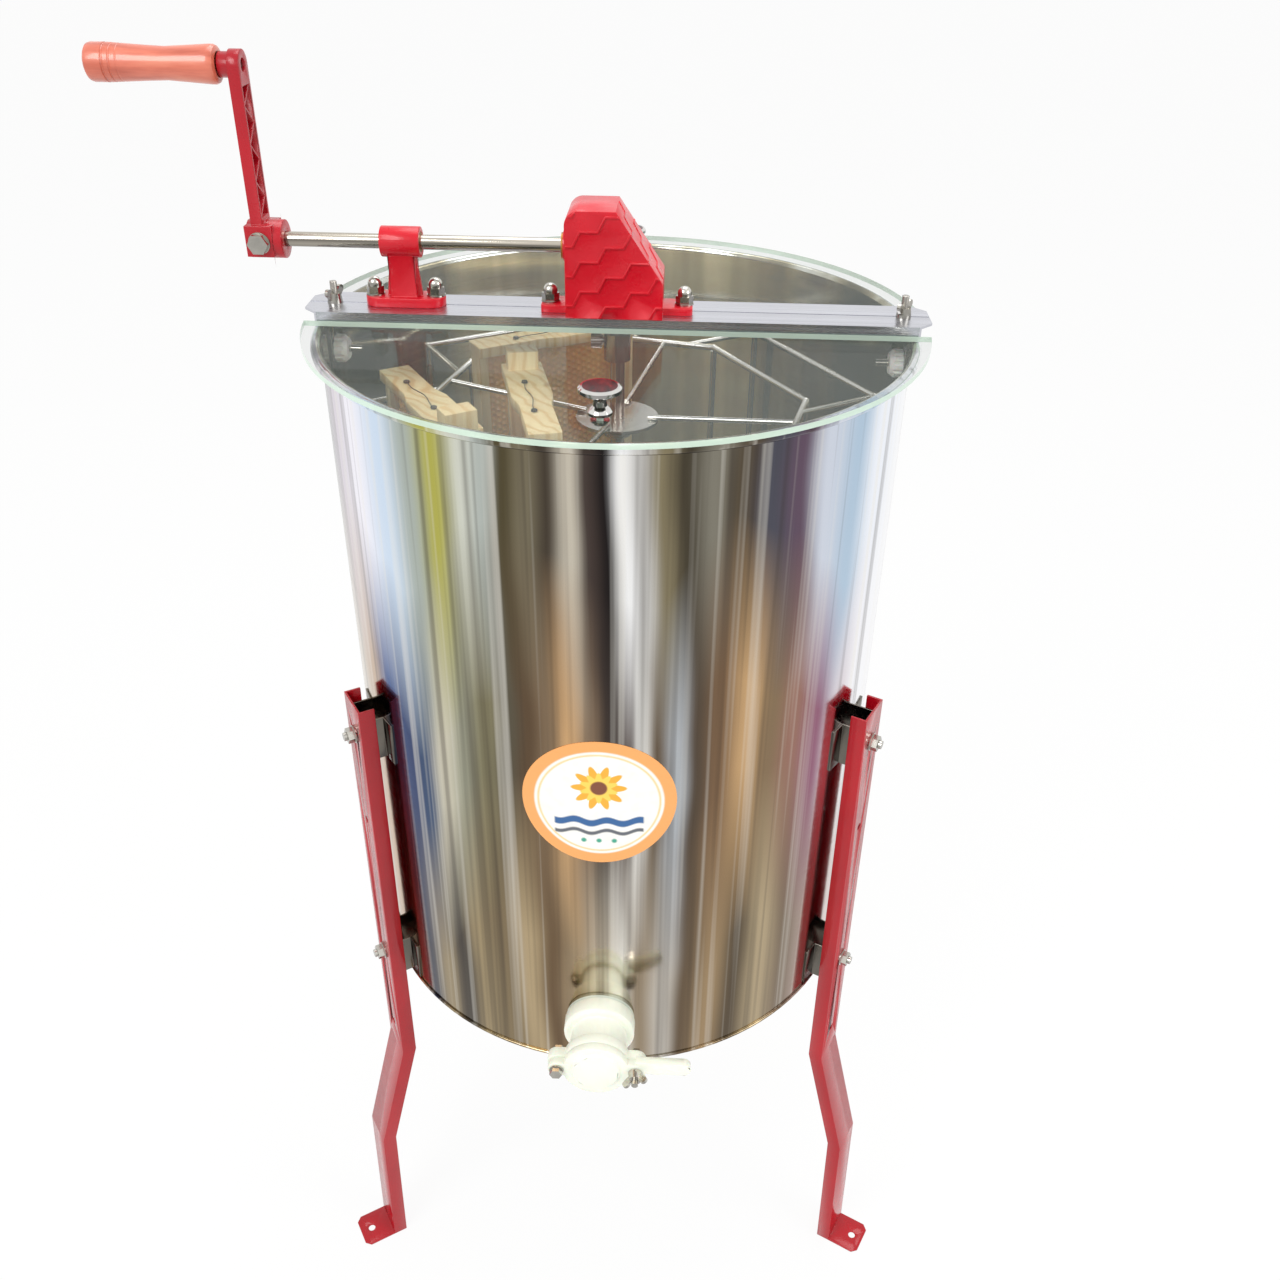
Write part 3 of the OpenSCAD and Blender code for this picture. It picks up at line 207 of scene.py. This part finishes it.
def polished_wall():
    """Mirror-bright sheet with painted reflections in its colour: streaks in front, plainer tones
    behind and inside, a fine ring grain.
    """
    front_ends, back_starts = 84.0, 118.0
    m = Material("polished_wall", Metallic=1.0, Anisotropic=0.5)
    x, y, z = m.axes()
    from_gate = m.math("ARCTAN2", x, m.math("MULTIPLY", y, -1.0))
    angle = m.math("MULTIPLY", from_gate, 180 / math.pi)
    # Behind: painted reflection in random grey bands.
    back_reflection_greys = ((0.3, rgb(92, 88, 82)), (0.48, rgb(186, 184, 178)), (0.66, rgb(236, 238, 240)))
    back = m.ramp(m.noise((7, 7, 0.7), 3, 0.6), back_reflection_greys)
    behind = m.range(m.math("ABSOLUTE", angle), front_ends, back_starts)
    tone = m.mix(behind, front_tone(m, angle, z), back)
    # Inside, where the wall faces the axis: warmer painted reflection in random bands.
    inside_reflection_tones = (
        (0.34, rgb(98, 88, 66)), (0.45, rgb(158, 148, 120)),
        (0.54, rgb(206, 204, 188)), (0.64, rgb(244, 246, 242)),
    )
    inside_reflections = m.ramp(m.noise((13, 13, 0.8), 3, 0.6), inside_reflection_tones)
    m.set("Base Color", m.mix(faces_axis(m, x, y), tone, inside_reflections))
    grain = m.noise((3, 3, 900), 2, 0.6)
    m.set("Roughness", m.range(grain, 0.3, 0.7, 0.08, 0.17))
    ring = m.node("ShaderNodeTangent", direction_type="RADIAL", axis="Z")
    m.set("Tangent", ring.outputs[0])
    m.bump(grain, 0.00002)
    return m.data


# Painted reflection: how bright a workshop would show in the bare metal, by the way a surface faces,
# from straight down (0) to straight up (1).
PAINTED_ROOM_REFLECTION = ((0.0, 0.16), (0.3, 0.5), (0.5, 0.3), (0.58, 0.12), (0.66, 0.7), (0.78, 1.0), (1.0, 0.8))


def worked_steel(name, tint, rough, stretch, wear=0.35, depth=0.00003, painted_reflection=0.0):
    """Bare metal with a drawn grain along the long way of stretch. The last argument is the share
    of a painted reflection of a workshop, which multiplies its colour by how far a surface faces up."""
    m = Material(name, Metallic=1.0)
    grain = m.noise(stretch, 3, 0.6)
    cloud = m.noise(14)
    shade = tuple(c * (1 - wear) for c in tint)
    share = m.math("MULTIPLY", m.math("ADD", grain, cloud), 0.5)
    tone = m.mix(m.range(share, 0.3, 0.7), shade, tint)
    if painted_reflection:
        # Painted reflection: lighter or darker by how far the surface faces up.
        lit = m.ramp(m.range(m.normal()[2], -1.0, 1.0), PAINTED_ROOM_REFLECTION)
        tone = m.mix(painted_reflection, tone, lit, "MULTIPLY")
    m.set("Base Color", tone)
    m.set("Roughness", m.range(grain, 0.3, 0.7, rough * 0.75, rough * 1.35))
    m.bump(grain, depth)
    return m.data


def painted(name, tint, rough, wear_and_highlight_share, peel):
    """Stove paint over metal: faint orange peel, and thinner, paler paint on edges, which is partly
    wear and partly a painted highlight.
    """
    m = Material(name, Coat_Weight=0.22, Coat_Roughness=0.1, Specular_IOR_Level=0.35)
    cloud = m.noise(9, 4, 0.6)
    deep = tuple(c * 0.8 for c in tint)
    pale = tuple(min(1.0, c * 1.3 + 0.12) for c in tint)
    # Edges found by a rounded normal are paled, as wear and as a painted highlight both.
    soft = m.node("ShaderNodeBevel", {"Radius": 0.001}, samples=8).outputs[0]
    hard = m.node("ShaderNodeNewGeometry").outputs["True Normal"]
    agree = m.node("ShaderNodeVectorMath", {0: soft, 1: hard}, operation="DOT_PRODUCT").outputs["Value"]
    edge_wear_and_highlight = m.math("MULTIPLY", m.range(agree, 0.93, 0.75), m.range(cloud, 0.35, 0.6, 0.4, 1.0))
    tone = m.mix(m.range(cloud, 0.35, 0.65), deep, tint)
    m.set("Base Color", m.mix(m.math("MULTIPLY", edge_wear_and_highlight, wear_and_highlight_share), tone, pale))
    m.set("Roughness", m.range(m.noise(60), 0.3, 0.7, rough * 0.8, rough * 1.3))
    m.bump(m.noise(420, 2), peel)
    return m.data


def moulded(name, tint, rough, under=0.12):
    """Moulded plastic with a faint flow cloud and a fine skin."""
    m = Material(name, Subsurface_Weight=under, Subsurface_Scale=0.004)
    cloud = m.noise(22, 3, 0.55)
    deep = tuple(c * 0.92 for c in tint)
    m.set("Base Color", m.mix(m.range(cloud, 0.3, 0.7), deep, tint))
    m.set("Roughness", m.range(cloud, 0.3, 0.7, rough * 0.85, rough * 1.2))
    m.bump(m.noise(300, 2), 0.00008)
    return m.data


def varnished_grip():
    """Salmon plastic, drawn in streaks along its length under a gloss skin."""
    m = Material("varnished_grip", Coat_Weight=0.6, Coat_Roughness=0.1)
    streak = m.noise((12, 90, 90), 4, 0.6)
    cloud = m.noise((16, 24, 24), 2)
    salmon = ((0.3, rgb(172, 78, 58)), (0.52, rgb(214, 116, 92)), (0.72, rgb(232, 146, 118)))
    tone = m.ramp(streak, salmon)
    m.set("Base Color", m.mix(m.range(cloud, 0.4, 0.75, 0.0, 0.5), tone, rgb(196, 92, 62)))
    m.set("Roughness", m.range(streak, 0.3, 0.7, 0.3, 0.42))
    m.bump(streak, 0.00008)
    return m.data


def clear_sheet(name, tint, alpha, rough, ior):
    """Acrylic sheet as a thin tint over what is behind it, with a breath of haze and dust."""
    m = Material(name, Alpha=alpha, IOR=ior)
    haze = m.noise(7, 3, 0.6)
    dust = m.noise(30, 2)
    deep = tuple(c * 0.8 for c in tint)
    m.set("Base Color", m.mix(m.range(haze, 0.3, 0.7), deep, tint))
    m.set("Roughness", m.range(dust, 0.4, 0.75, rough, rough + 0.03))
    m.bump(m.noise(18, 2), 0.00004)
    return m.data


def pine_wood():
    """Pale planed pine: long wandering grain with thin late wood, and a few knots."""
    m = Material("pine_wood", Subsurface_Weight=0.08, Subsurface_Scale=0.002)
    x, y, _ = m.axes()
    sway = m.noise((9, 9, 2.4), 3, 0.55)
    across = m.math("MULTIPLY_ADD", sway, 0.09, m.math("MULTIPLY_ADD", y, 0.7, x))
    ring = m.math("SINE", m.math("MULTIPLY", across, 520.0))
    fibre = m.noise((380, 380, 9), 4, 0.65)
    cloud = m.noise((20, 20, 5))
    year = ((0.0, rgb(244, 228, 176)), (0.7, rgb(240, 222, 168)), (0.93, rgb(226, 196, 136)))
    tone = m.ramp(m.range(ring, -1.0, 1.0), year)
    tone = m.mix(m.range(cloud, 0.4, 0.7, 0.0, 0.4), tone, rgb(232, 200, 140))
    tone = m.mix(m.range(fibre, 0.42, 0.72, 0.0, 0.28), tone, rgb(208, 170, 112))
    knot = m.node("ShaderNodeTexVoronoi", {"Vector": m.scaled((13, 13, 5)), "Scale": 1.0})
    knotted = m.range(knot.outputs["Distance"], 0.05, 0.12, 0.7, 0.0)
    m.set("Base Color", m.mix(knotted, tone, rgb(150, 98, 52)))
    m.set("Roughness", m.range(fibre, 0.3, 0.7, 0.5, 0.68))
    m.bump(fibre, 0.0002)
    return m.data


def beeswax():
    """Pressed wax, warmer and paler in clouds."""
    m = Material("beeswax", Subsurface_Weight=0.3, Subsurface_Scale=0.003, Coat_Weight=0.2)
    cloud = m.noise(18, 4, 0.6)
    honey = ((0.3, rgb(206, 140, 44)), (0.55, rgb(232, 176, 70)), (0.75, rgb(244, 206, 112)))
    m.set("Base Color", m.ramp(cloud, honey))
    m.set("Roughness", m.range(cloud, 0.3, 0.7, 0.34, 0.5))
    m.bump(m.noise(260, 2), 0.00012)
    return m.data


def milky_rubber():
    """The gate's seal, which shows milky beside the white body."""
    m = Material("seal_rubber_skin")
    cloud = m.noise(60)
    m.set("Base Color", m.mix(m.range(cloud, 0.3, 0.7), rgb(196, 204, 192), rgb(222, 228, 214)))
    m.set("Roughness", m.range(cloud, 0.3, 0.7, 0.5, 0.7))
    m.bump(m.noise(500, 2), 0.0001)
    return m.data


def knob_inlay():
    """Glossy inlay, wine red fading to black in slanting brushed clouds."""
    m = Material("knob_inlay_gloss", Specular_IOR_Level=0.3, Coat_Weight=0.08, Coat_Roughness=0.04)
    cloud = m.noise((120, 50, 50), 3, 0.6)
    wine = ((0.38, rgb(14, 8, 10)), (0.54, rgb(70, 10, 16)), (0.7, rgb(126, 26, 28)))
    m.set("Base Color", m.ramp(cloud, wine))
    m.set("Roughness", m.range(cloud, 0.3, 0.7, 0.14, 0.24))
    return m.data


def round_label(low, high):
    """A printed disc: orange rim with a pale ring, white field, a plain daisy over two
    waves and three dots. Lengths on it are shares of its radius."""
    m = Material("round_label", Coat_Weight=0.3, Coat_Roughness=0.15)
    x, _, z = m.axes()
    half = (high.z - low.z) / 2
    u = m.math("DIVIDE", x, half)
    v = m.math("DIVIDE", m.math("SUBTRACT", z, (low.z + high.z) / 2), half)

    def length(a, b):
        return m.math("SQRT", m.math("ADD", m.math("MULTIPLY", a, a), m.math("MULTIPLY", b, b)))

    def below(value, edge, soft=0.012):
        """1 where value is under edge, 0 over it."""
        return m.range(value, edge - soft, edge + soft, 1.0, 0.0)

    def flower(a, b, count, size, depth, turn=0.0):
        """1 inside an outline of count petals that dip by depth."""
        wave = m.math("COSINE", m.math("MULTIPLY_ADD", m.math("ARCTAN2", b, a), float(count), turn))
        reach = m.math("MULTIPLY_ADD", wave, size * depth, size * (1 - depth))
        return below(m.math("SUBTRACT", length(a, b), reach), 0.0)

    radius = length(u, v)
    paper = m.mix(m.range(m.noise(90), 0.3, 0.7), rgb(250, 248, 242), rgb(238, 236, 230))
    tone = m.mix(below(radius, 0.84), rgb(240, 166, 92), paper)
    pale_ring = m.math("MULTIPLY", below(radius, 0.80), m.math("SUBTRACT", 1.0, below(radius, 0.775)))
    tone = m.mix(pale_ring, tone, rgb(250, 206, 140))
    up = m.math("SUBTRACT", v, 0.26)
    tone = m.mix(flower(u, up, 10, 0.36, 0.2), tone, rgb(246, 172, 40))
    tone = m.mix(flower(u, up, 10, 0.25, 0.18, math.pi), tone, rgb(252, 208, 84))
    tone = m.mix(below(length(u, up), 0.11), tone, rgb(122, 62, 30))
    wave = m.math("MULTIPLY", m.math("SINE", m.math("MULTIPLY", u, 15.0)), 0.03)
    above_wave = m.math("SUBTRACT", v, wave)
    for base, thick, tint in ((-0.30, 0.055, rgb(34, 92, 150)), (-0.47, 0.03, rgb(92, 96, 104))):
        off = m.math("ABSOLUTE", m.math("SUBTRACT", above_wave, base))
        band = m.math("MULTIPLY", below(off, thick), below(m.math("ABSOLUTE", u), 0.58))
        tone = m.mix(band, tone, tint)
    for spot in (-0.2, 0.0, 0.2):
        dot = below(length(m.math("SUBTRACT", u, spot), m.math("ADD", v, 0.62)), 0.035)
        tone = m.mix(dot, tone, rgb(52, 160, 132))
    m.set("Base Color", tone)
    m.set("Roughness", m.range(m.noise(60, 2), 0.3, 0.7, 0.3, 0.42))
    return m.data


wall_metal = polished_wall()
clip_steel = worked_steel("clip_steel", rgb(146, 140, 130), 0.2, 30, 0.4, painted_reflection=0.6)
pressed = worked_steel("pressed_steel", rgb(196, 192, 184), 0.22, 40, 0.3, painted_reflection=0.5)
rods = worked_steel("rod_steel_drawn", rgb(222, 220, 214), 0.22, 30, 0.2, painted_reflection=0.45)
shafts = worked_steel("ground_shaft", rgb(216, 208, 194), 0.14, (6, 500, 500), 0.25, painted_reflection=0.85)
upright_shaft = worked_steel("ground_upright", rgb(196, 192, 184), 0.18, (500, 500, 6), 0.35)
bar_skin = worked_steel("bar_brushed", rgb(204, 205, 212), 0.24, (1.5, 260, 260), 0.14, 0.00001)
zinc = worked_steel("bright_zinc_plate", rgb(226, 222, 212), 0.14, 120, 0.35, 0.00002, painted_reflection=0.6)
chrome = worked_steel("chrome_knob", rgb(236, 234, 230), 0.05, 60, 0.2, 0.00001, painted_reflection=0.85)
tooth_steel = worked_steel("gear_steel_cut", rgb(120, 118, 116), 0.36, 200)
bearing = worked_steel("sintered_bronze", rgb(178, 128, 72), 0.4, 300, 0.4)
wire_steel = worked_steel("frame_wire", rgb(92, 84, 76), 0.34, 200, 0.5)
leg_paint = painted("leg_paint", rgb(182, 8, 26), 0.2, 0.4, 0.00003)
cast_paint = painted("cast_paint", rgb(218, 10, 36), 0.3, 0.4, 0.0002)
arm_paint = painted("arm_paint", rgb(178, 10, 30), 0.27, 0.55, 0.0002)
gate_white = moulded("gate_white", rgb(250, 254, 238), 0.34)
nut_white = moulded("nylon_white", rgb(250, 250, 248), 0.4, 0.25)
grip_skin = varnished_grip()
lid_face = clear_sheet("lid_face", rgb(150, 160, 152), 0.14, 0.03, 2.4)
lid_rim = clear_sheet("lid_rim", rgb(214, 236, 218), 0.86, 0.12, 1.49)
wood = pine_wood()
wax = beeswax()
seal = milky_rubber()
inlay = knob_inlay()
label_print = round_label(*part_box("label_plate"))

# The lids, the combs and the drum's bottom are dressed where they are drawn again, below.
LOOKS = {
    wall_metal: "drum_wall",
    clip_steel: "leg_bracket_left leg_bracket_right leg_bracket_rear",
    pressed: "pivot_cup clamp_bracket_left clamp_bracket_right coupling_sleeve",
    rods: "basket_top basket_posts basket_bottom",
    shafts: "crank_shaft grip_spindle",
    upright_shaft: "basket_shaft drive_shaft",
    bar_skin: "cross_bar",
    zinc: "leg_bolts leg_nuts wall_bolts wing_nut_left wing_nut_right bar_bolts acorn_nuts "
    "gate_pivot_bolt gate_clamp_bolt gate_wing_nut thumb_screw crank_bolt",
    chrome: "front_knob rear_knob",
    tooth_steel: "bevel_pinion bevel_gear",
    bearing: "pivot_bush case_bush bar_bush pedestal_bush",
    leg_paint: "leg_left leg_right leg_rear",
    cast_paint: "gear_case pedestal",
    arm_paint: "crank_arm",
    gate_white: "gate_body gate_inner_nut gate_flap",
    nut_white: "wall_cap_nuts",
    grip_skin: "grip",
    wood: "hive_frame_front hive_frame_rear hive_frame_loose",
    seal: "gate_seal",
    inlay: "front_knob_cap rear_knob_cap",
    label_print: "label_plate",
}


# ---------------------------------------------------------------- edges

SHARP = math.radians(34)

# How far the edges of a node are rounded, in metres. The rest keep their solids' edges.
ROUNDED = {
    0.0002: "gear_case",
    0.0004: "leg_left leg_right leg_rear leg_bracket_left leg_bracket_right leg_bracket_rear "
    "clamp_bracket_left clamp_bracket_right crank_arm gate_flap",
    0.0006: "pedestal gate_body",
    0.0008: "hive_frame_front hive_frame_rear hive_frame_loose",
}


def smooth(o, width=None):
    """Shades a CAD mesh smooth: welds its split corners, then rounds or splits its sharp edges."""
    for p in o.data.polygons:
        p.use_smooth = True
    o.modifiers.new("weld", "WELD").merge_threshold = 0.00001
    if width:
        bevel = o.modifiers.new("round", "BEVEL")
        bevel.width = width
        bevel.segments = 2
        bevel.limit_method = "ANGLE"
        bevel.angle_limit = SHARP
        bevel.use_clamp_overlap = False
        bevel.harden_normals = True
    else:
        o.modifiers.new("split", "EDGE_SPLIT").split_angle = SHARP


def dress_cad():
    """Gives each CAD node that stays its material and its edges."""
    widths = {name: width for width, names in ROUNDED.items() for name in names.split()}
    for look, names in LOOKS.items():
        for name in names.split():
            mesh = cad[name].data
            mesh.materials.clear()
            mesh.materials.append(look)
            smooth(cad[name], widths.get(name))


# ---------------------------------------------------------------- new pieces


def link(name, mesh, looks, body, replaced=None):
    """Puts a finished mesh in the scene with the given looks, riding on a body. It stands for
    the CAD node that it replaces, if one is given."""
    o = bpy.data.objects.new(name, mesh)
    bpy.context.scene.collection.objects.link(o)
    for look in looks:
        mesh.materials.append(look)
    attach(o, body)
    if replaced:
        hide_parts(replaced)
    return o


def bare_copy(node, name):
    """A copy of a CAD node's mesh under a new name, without its materials."""
    mesh = cad[node].data.copy()
    mesh.name = name
    mesh.materials.clear()
    return mesh


def lid_sheet(node):
    """A lid with a polished face and a sawn rim, which glows pale green."""
    name = node + "_sheet"
    mesh = bare_copy(node, name)
    for p in mesh.polygons:
        p.material_index = 0 if abs(p.normal.z) > 0.7 else 1
    smooth(link(name, mesh, (lid_face, lid_rim), node, replaced=node))


def bottom_sheet():
    """The drum's bottom, drawn a hair inside the wall that it is seamed into."""
    drawn_in = 0.9985
    mesh = bare_copy("drum_bottom", "bottom_sheet")
    for v in mesh.vertices:
        v.co.x *= drawn_in
        v.co.y *= drawn_in
    smooth(link("bottom_sheet", mesh, (pressed,), "drum", replaced="drum_bottom"))


def comb_axes(node):
    """The level directions across a comb and along it, from its largest face."""
    out = max(cad[node].data.polygons, key=lambda p: p.area).normal
    out = Vector((out.x, out.y, 0.0)).normalized()
    return out, UP.cross(out)


def comb_sheet(node):
    """Wax foundation: six-sided cells with pointed floors, pressed into both faces."""
    cell, sink = 0.0062, 0.0014
    out, along = comb_axes(node)
    points = [v.co for v in cad[node].data.vertices]
    spans = [[p.dot(way) for p in points] for way in (along, out, UP)]
    (left, right), (back, face), (bottom, top) = [(min(s), max(s)) for s in spans]
    side = cell / math.sqrt(3)
    turns = [math.radians(60 * n) for n in range(6)]
    bm = bmesh.new()

    def at(u, v, depth):
        """A corner, held inside the sheet's outline."""
        u, v = min(max(u, left), right), min(max(v, bottom), top)
        return bm.verts.new(along * u + out * depth + UP * v)

    def press(u, v, depth, inward):
        """One cell: six triangles down to a point below the face."""
        middle = at(u, v, depth + inward * sink)
        ring = [at(u + side * math.cos(a), v + side * math.sin(a), depth) for a in turns]
        for n in range(6):
            three = (middle, ring[n], ring[(n + 1) % 6])
            bm.faces.new(three if inward < 0 else three[::-1])

    for depth, inward in ((face, -1), (back, 1)):
        for i in range(int((right - left) / (1.5 * side)) + 2):
            for k in range(int((top - bottom) / cell) + 2):
                u = left + i * 1.5 * side
                v = bottom + (k + 0.5 * (i % 2)) * cell
                if u <= right and v <= top:
                    press(u, v, depth, inward)
    corners = ((left, bottom), (right, bottom), (right, top), (left, top))
    for a, b in zip(corners, corners[1:] + corners[:1]):
        bm.faces.new((at(*a, back), at(*b, back), at(*b, face), at(*a, face)))
    bmesh.ops.remove_doubles(bm, verts=bm.verts, dist=0.0002)
    bmesh.ops.dissolve_degenerate(bm, edges=bm.edges, dist=0.0001)
    mesh = bpy.data.meshes.new(node + "_cells")
    bm.to_mesh(mesh)
    bm.free()
    link(node + "_cells", mesh, (wax,), "basket", replaced=node)


def circle(centre, across, other, radius, sides):
    """Points round centre, in the plane of two directions."""
    turns = [2 * math.pi * k / sides for k in range(sides)]
    return [centre + (across * math.cos(a) + other * math.sin(a)) * radius for a in turns]


def tube(path, radius, sides=8):
    """The rings of a round wire along a list of points."""
    rings = []
    across = (path[1] - path[0]).normalized().orthogonal()
    for i, p in enumerate(path):
        ahead = (path[min(i + 1, len(path) - 1)] - path[max(i - 1, 0)]).normalized()
        across = (across - ahead * across.dot(ahead)).normalized()
        rings.append(circle(p, across, ahead.cross(across), radius, sides))
    return rings


def turned(spot, profile, sides=16):
    """The rings of a small turned piece: pairs of a radius and a height over spot."""
    across = UP.orthogonal().normalized()
    other = UP.cross(across)
    return [circle(spot + UP * height, across, other, radius, sides) for radius, height in profile]


def skin(name, rings):
    """A mesh stretched over rings of points, with smooth sides and flat ends."""
    bm = bmesh.new()
    loops = [[bm.verts.new(p) for p in ring] for ring in rings]
    for a, b in zip(loops, loops[1:]):
        for k in range(len(a)):
            n = (k + 1) % len(a)
            bm.faces.new((a[k], a[n], b[n], b[k]))
    bm.faces.new(loops[0][::-1])
    bm.faces.new(loops[-1])
    for f in bm.faces:
        f.smooth = len(f.verts) == 4
    mesh = bpy.data.meshes.new(name)
    bm.to_mesh(mesh)
    bm.free()
    return mesh


# The nails and the wire of a hive frame, in metres. NAIL pairs radii with heights, from the
# shank to the head. The bar's top is measured from the comb's, the wire's lift from the bar's.
NAIL = ((0.0009, -0.002), (0.0009, 0.0012), (0.0024, 0.0014), (0.0026, 0.0020), (0.0016, 0.0025))
NAIL_PLACES = (-0.034, 0.03)
NAIL_OFF_MIDDLE = 0.003
END_BAR_TOP = 0.0095
WIRE_RADIUS = 0.0004
WIRE_LIFT = 0.0009
WIRE_WAVE = 0.0022
WIRE_HUMP = 0.0012
LOOP_RADIUS = 0.0024
STEPS = 12


def frame_wire(tag, wander):
    """Two nails in the upper end bar of a hive frame, and the wire looped between them.
    wander says where in its waves the wire starts."""
    out, along = comb_axes("comb_" + tag)
    low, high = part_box("comb_" + tag)
    bar_top = Vector(((low.x + high.x) / 2, (low.y + high.y) / 2, high.z + END_BAR_TOP))
    nails = [bar_top + along * d + out * NAIL_OFF_MIDDLE for d in NAIL_PLACES]
    for n, spot in enumerate(nails):
        name = "frame_nail_%s_%d" % (tag, n)
        link(name, skin(name, turned(spot, NAIL)), (wire_steel,), "basket")
    rest = UP * WIRE_LIFT

    def loop(spot, start):
        """One turn of the wire round a nail."""
        turns = [start + 2 * math.pi * k / STEPS for k in range(STEPS + 1)]
        return [spot + (along * math.cos(a) + out * math.sin(a)) * LOOP_RADIUS + rest for a in turns]

    def between(t):
        """The slack wire at share t of the way: waves sideways and a low hump."""
        hump = math.sin(math.pi * t)
        side = hump * WIRE_WAVE * math.sin(7 * t + wander)
        return nails[0].lerp(nails[1], t) + out * side + rest + UP * (WIRE_HUMP * hump)

    span = [between(k / STEPS) for k in range(1, STEPS)]
    name = "frame_wire_" + tag
    path = loop(nails[0], 0.0) + span + loop(nails[1], math.pi)
    link(name, skin(name, tube(path, WIRE_RADIUS)), (wire_steel,), "basket")


# ---------------------------------------------------------------- stage, light, camera


def studio():
    """Even white light, which the camera, gloss and clear sheets see at full strength."""
    world = bpy.data.worlds.new("studio")
    bpy.context.scene.world = world
    world.use_nodes = True
    t = world.node_tree
    lit = t.nodes["Background"]
    seen = t.nodes.new("ShaderNodeBackground")
    for glow, strength in ((lit, 0.62), (seen, 1.0)):
        glow.inputs[0].default_value = (1.0, 1.0, 1.0, 1.0)
        glow.inputs[1].default_value = strength
    path = t.nodes.new("ShaderNodeLightPath").outputs
    shown = path["Is Camera Ray"]
    for ray in ("Is Glossy Ray", "Is Transmission Ray"):
        either = t.nodes.new("ShaderNodeMath")
        either.operation = "MAXIMUM"
        t.links.new(shown, either.inputs[0])
        t.links.new(path[ray], either.inputs[1])
        shown = either.outputs[0]
    mix = t.nodes.new("ShaderNodeMixShader")
    for socket, source in zip(mix.inputs, (shown, lit.outputs[0], seen.outputs[0])):
        t.links.new(source, socket)
    t.links.new(mix.outputs[0], t.nodes["World Output"].inputs[0])


def floor():
    """A wide pale disc that is seen nearly white, and keeps the object's shadow."""
    m = Material("floor_card", Roughness=0.9)
    m.set("Base Color", m.mix(m.noise(3), rgb(244, 244, 242), rgb(250, 250, 249)))
    path = m.node("ShaderNodeLightPath").outputs
    shown = m.math("MAXIMUM", path["Is Camera Ray"], path["Is Glossy Ray"])
    shown = m.math("MAXIMUM", shown, path["Is Transmission Ray"])
    glow = m.node("ShaderNodeEmission", {"Color": (1.0, 1.0, 1.0), "Strength": 1.0})
    mix = m.node("ShaderNodeMixShader")
    m.put(mix.inputs[0], m.math("MULTIPLY", shown, 0.92))
    m.put(mix.inputs[1], m.shader.outputs[0])
    m.put(mix.inputs[2], glow.outputs[0])
    m.put(m.tree.nodes["Material Output"].inputs[0], mix.outputs[0])
    radius, sides = 40.0, 48
    rim = circle(Vector(), Vector((1.0, 0.0, 0.0)), Vector((0.0, 1.0, 0.0)), radius, sides)
    mesh = bpy.data.meshes.new("floor")
    mesh.from_pydata(rim, [], [list(range(sides))])
    mesh.materials.append(m.data)
    o = bpy.data.objects.new("floor", mesh)
    bpy.context.scene.collection.objects.link(o)


def lamp(name, place, aim_height, side, power):
    """A square soft box that looks at the drum's axis."""
    light = bpy.data.lights.new(name, "AREA")
    light.shape = "RECTANGLE"
    light.size = light.size_y = side
    light.energy = power
    o = bpy.data.objects.new(name, light)
    o.location = place
    o.rotation_euler = (UP * aim_height - Vector(place)).to_track_quat("-Z", "Y").to_euler()
    bpy.context.scene.collection.objects.link(o)


def camera():
    """The photograph's view, as fitted to the drum's rim, lid and lower edge."""
    turn, down, roll = math.radians(2.0), math.radians(32.86), math.radians(0.86)
    place = Vector((0.0597, -1.0360, 1.4199))
    level = Vector((-math.sin(turn), math.cos(turn), 0.0))
    right = Vector((math.cos(turn), math.sin(turn), 0.0))
    ahead = level * math.cos(down) - UP * math.sin(down)
    above = right.cross(ahead)
    across = right * math.cos(roll) + above * math.sin(roll)
    above = above * math.cos(roll) - right * math.sin(roll)
    data = bpy.data.cameras.new("photo_view")
    data.sensor_width = 36.0
    data.lens = 34.65
    o = bpy.data.objects.new("photo_view", data)
    o.matrix_world = Matrix((
        (across.x, above.x, -ahead.x, place.x),
        (across.y, above.y, -ahead.y, place.y),
        (across.z, above.z, -ahead.z, place.z),
        (0.0, 0.0, 0.0, 1.0),
    ))
    bpy.context.scene.collection.objects.link(o)
    bpy.context.scene.camera = o


dress_cad()
bottom_sheet()
for tag, wander in (("front", 6.5), ("rear", 5.2), ("loose", 6.5)):
    comb_sheet("comb_" + tag)
    frame_wire(tag, wander)
for lid in ("front_lid", "rear_lid"):
    lid_sheet(lid)

studio()
floor()
lamp("key", (-1.6, -2.2, 3.0), 0.7, 1.6, 60.0)
lamp("fill", (2.2, -1.2, 2.0), 0.7, 1.4, 24.0)
lamp("top", (0.2, 0.8, 3.2), 0.9, 1.8, 30.0)
camera()
bpy.context.scene.view_settings.view_transform = "Standard"
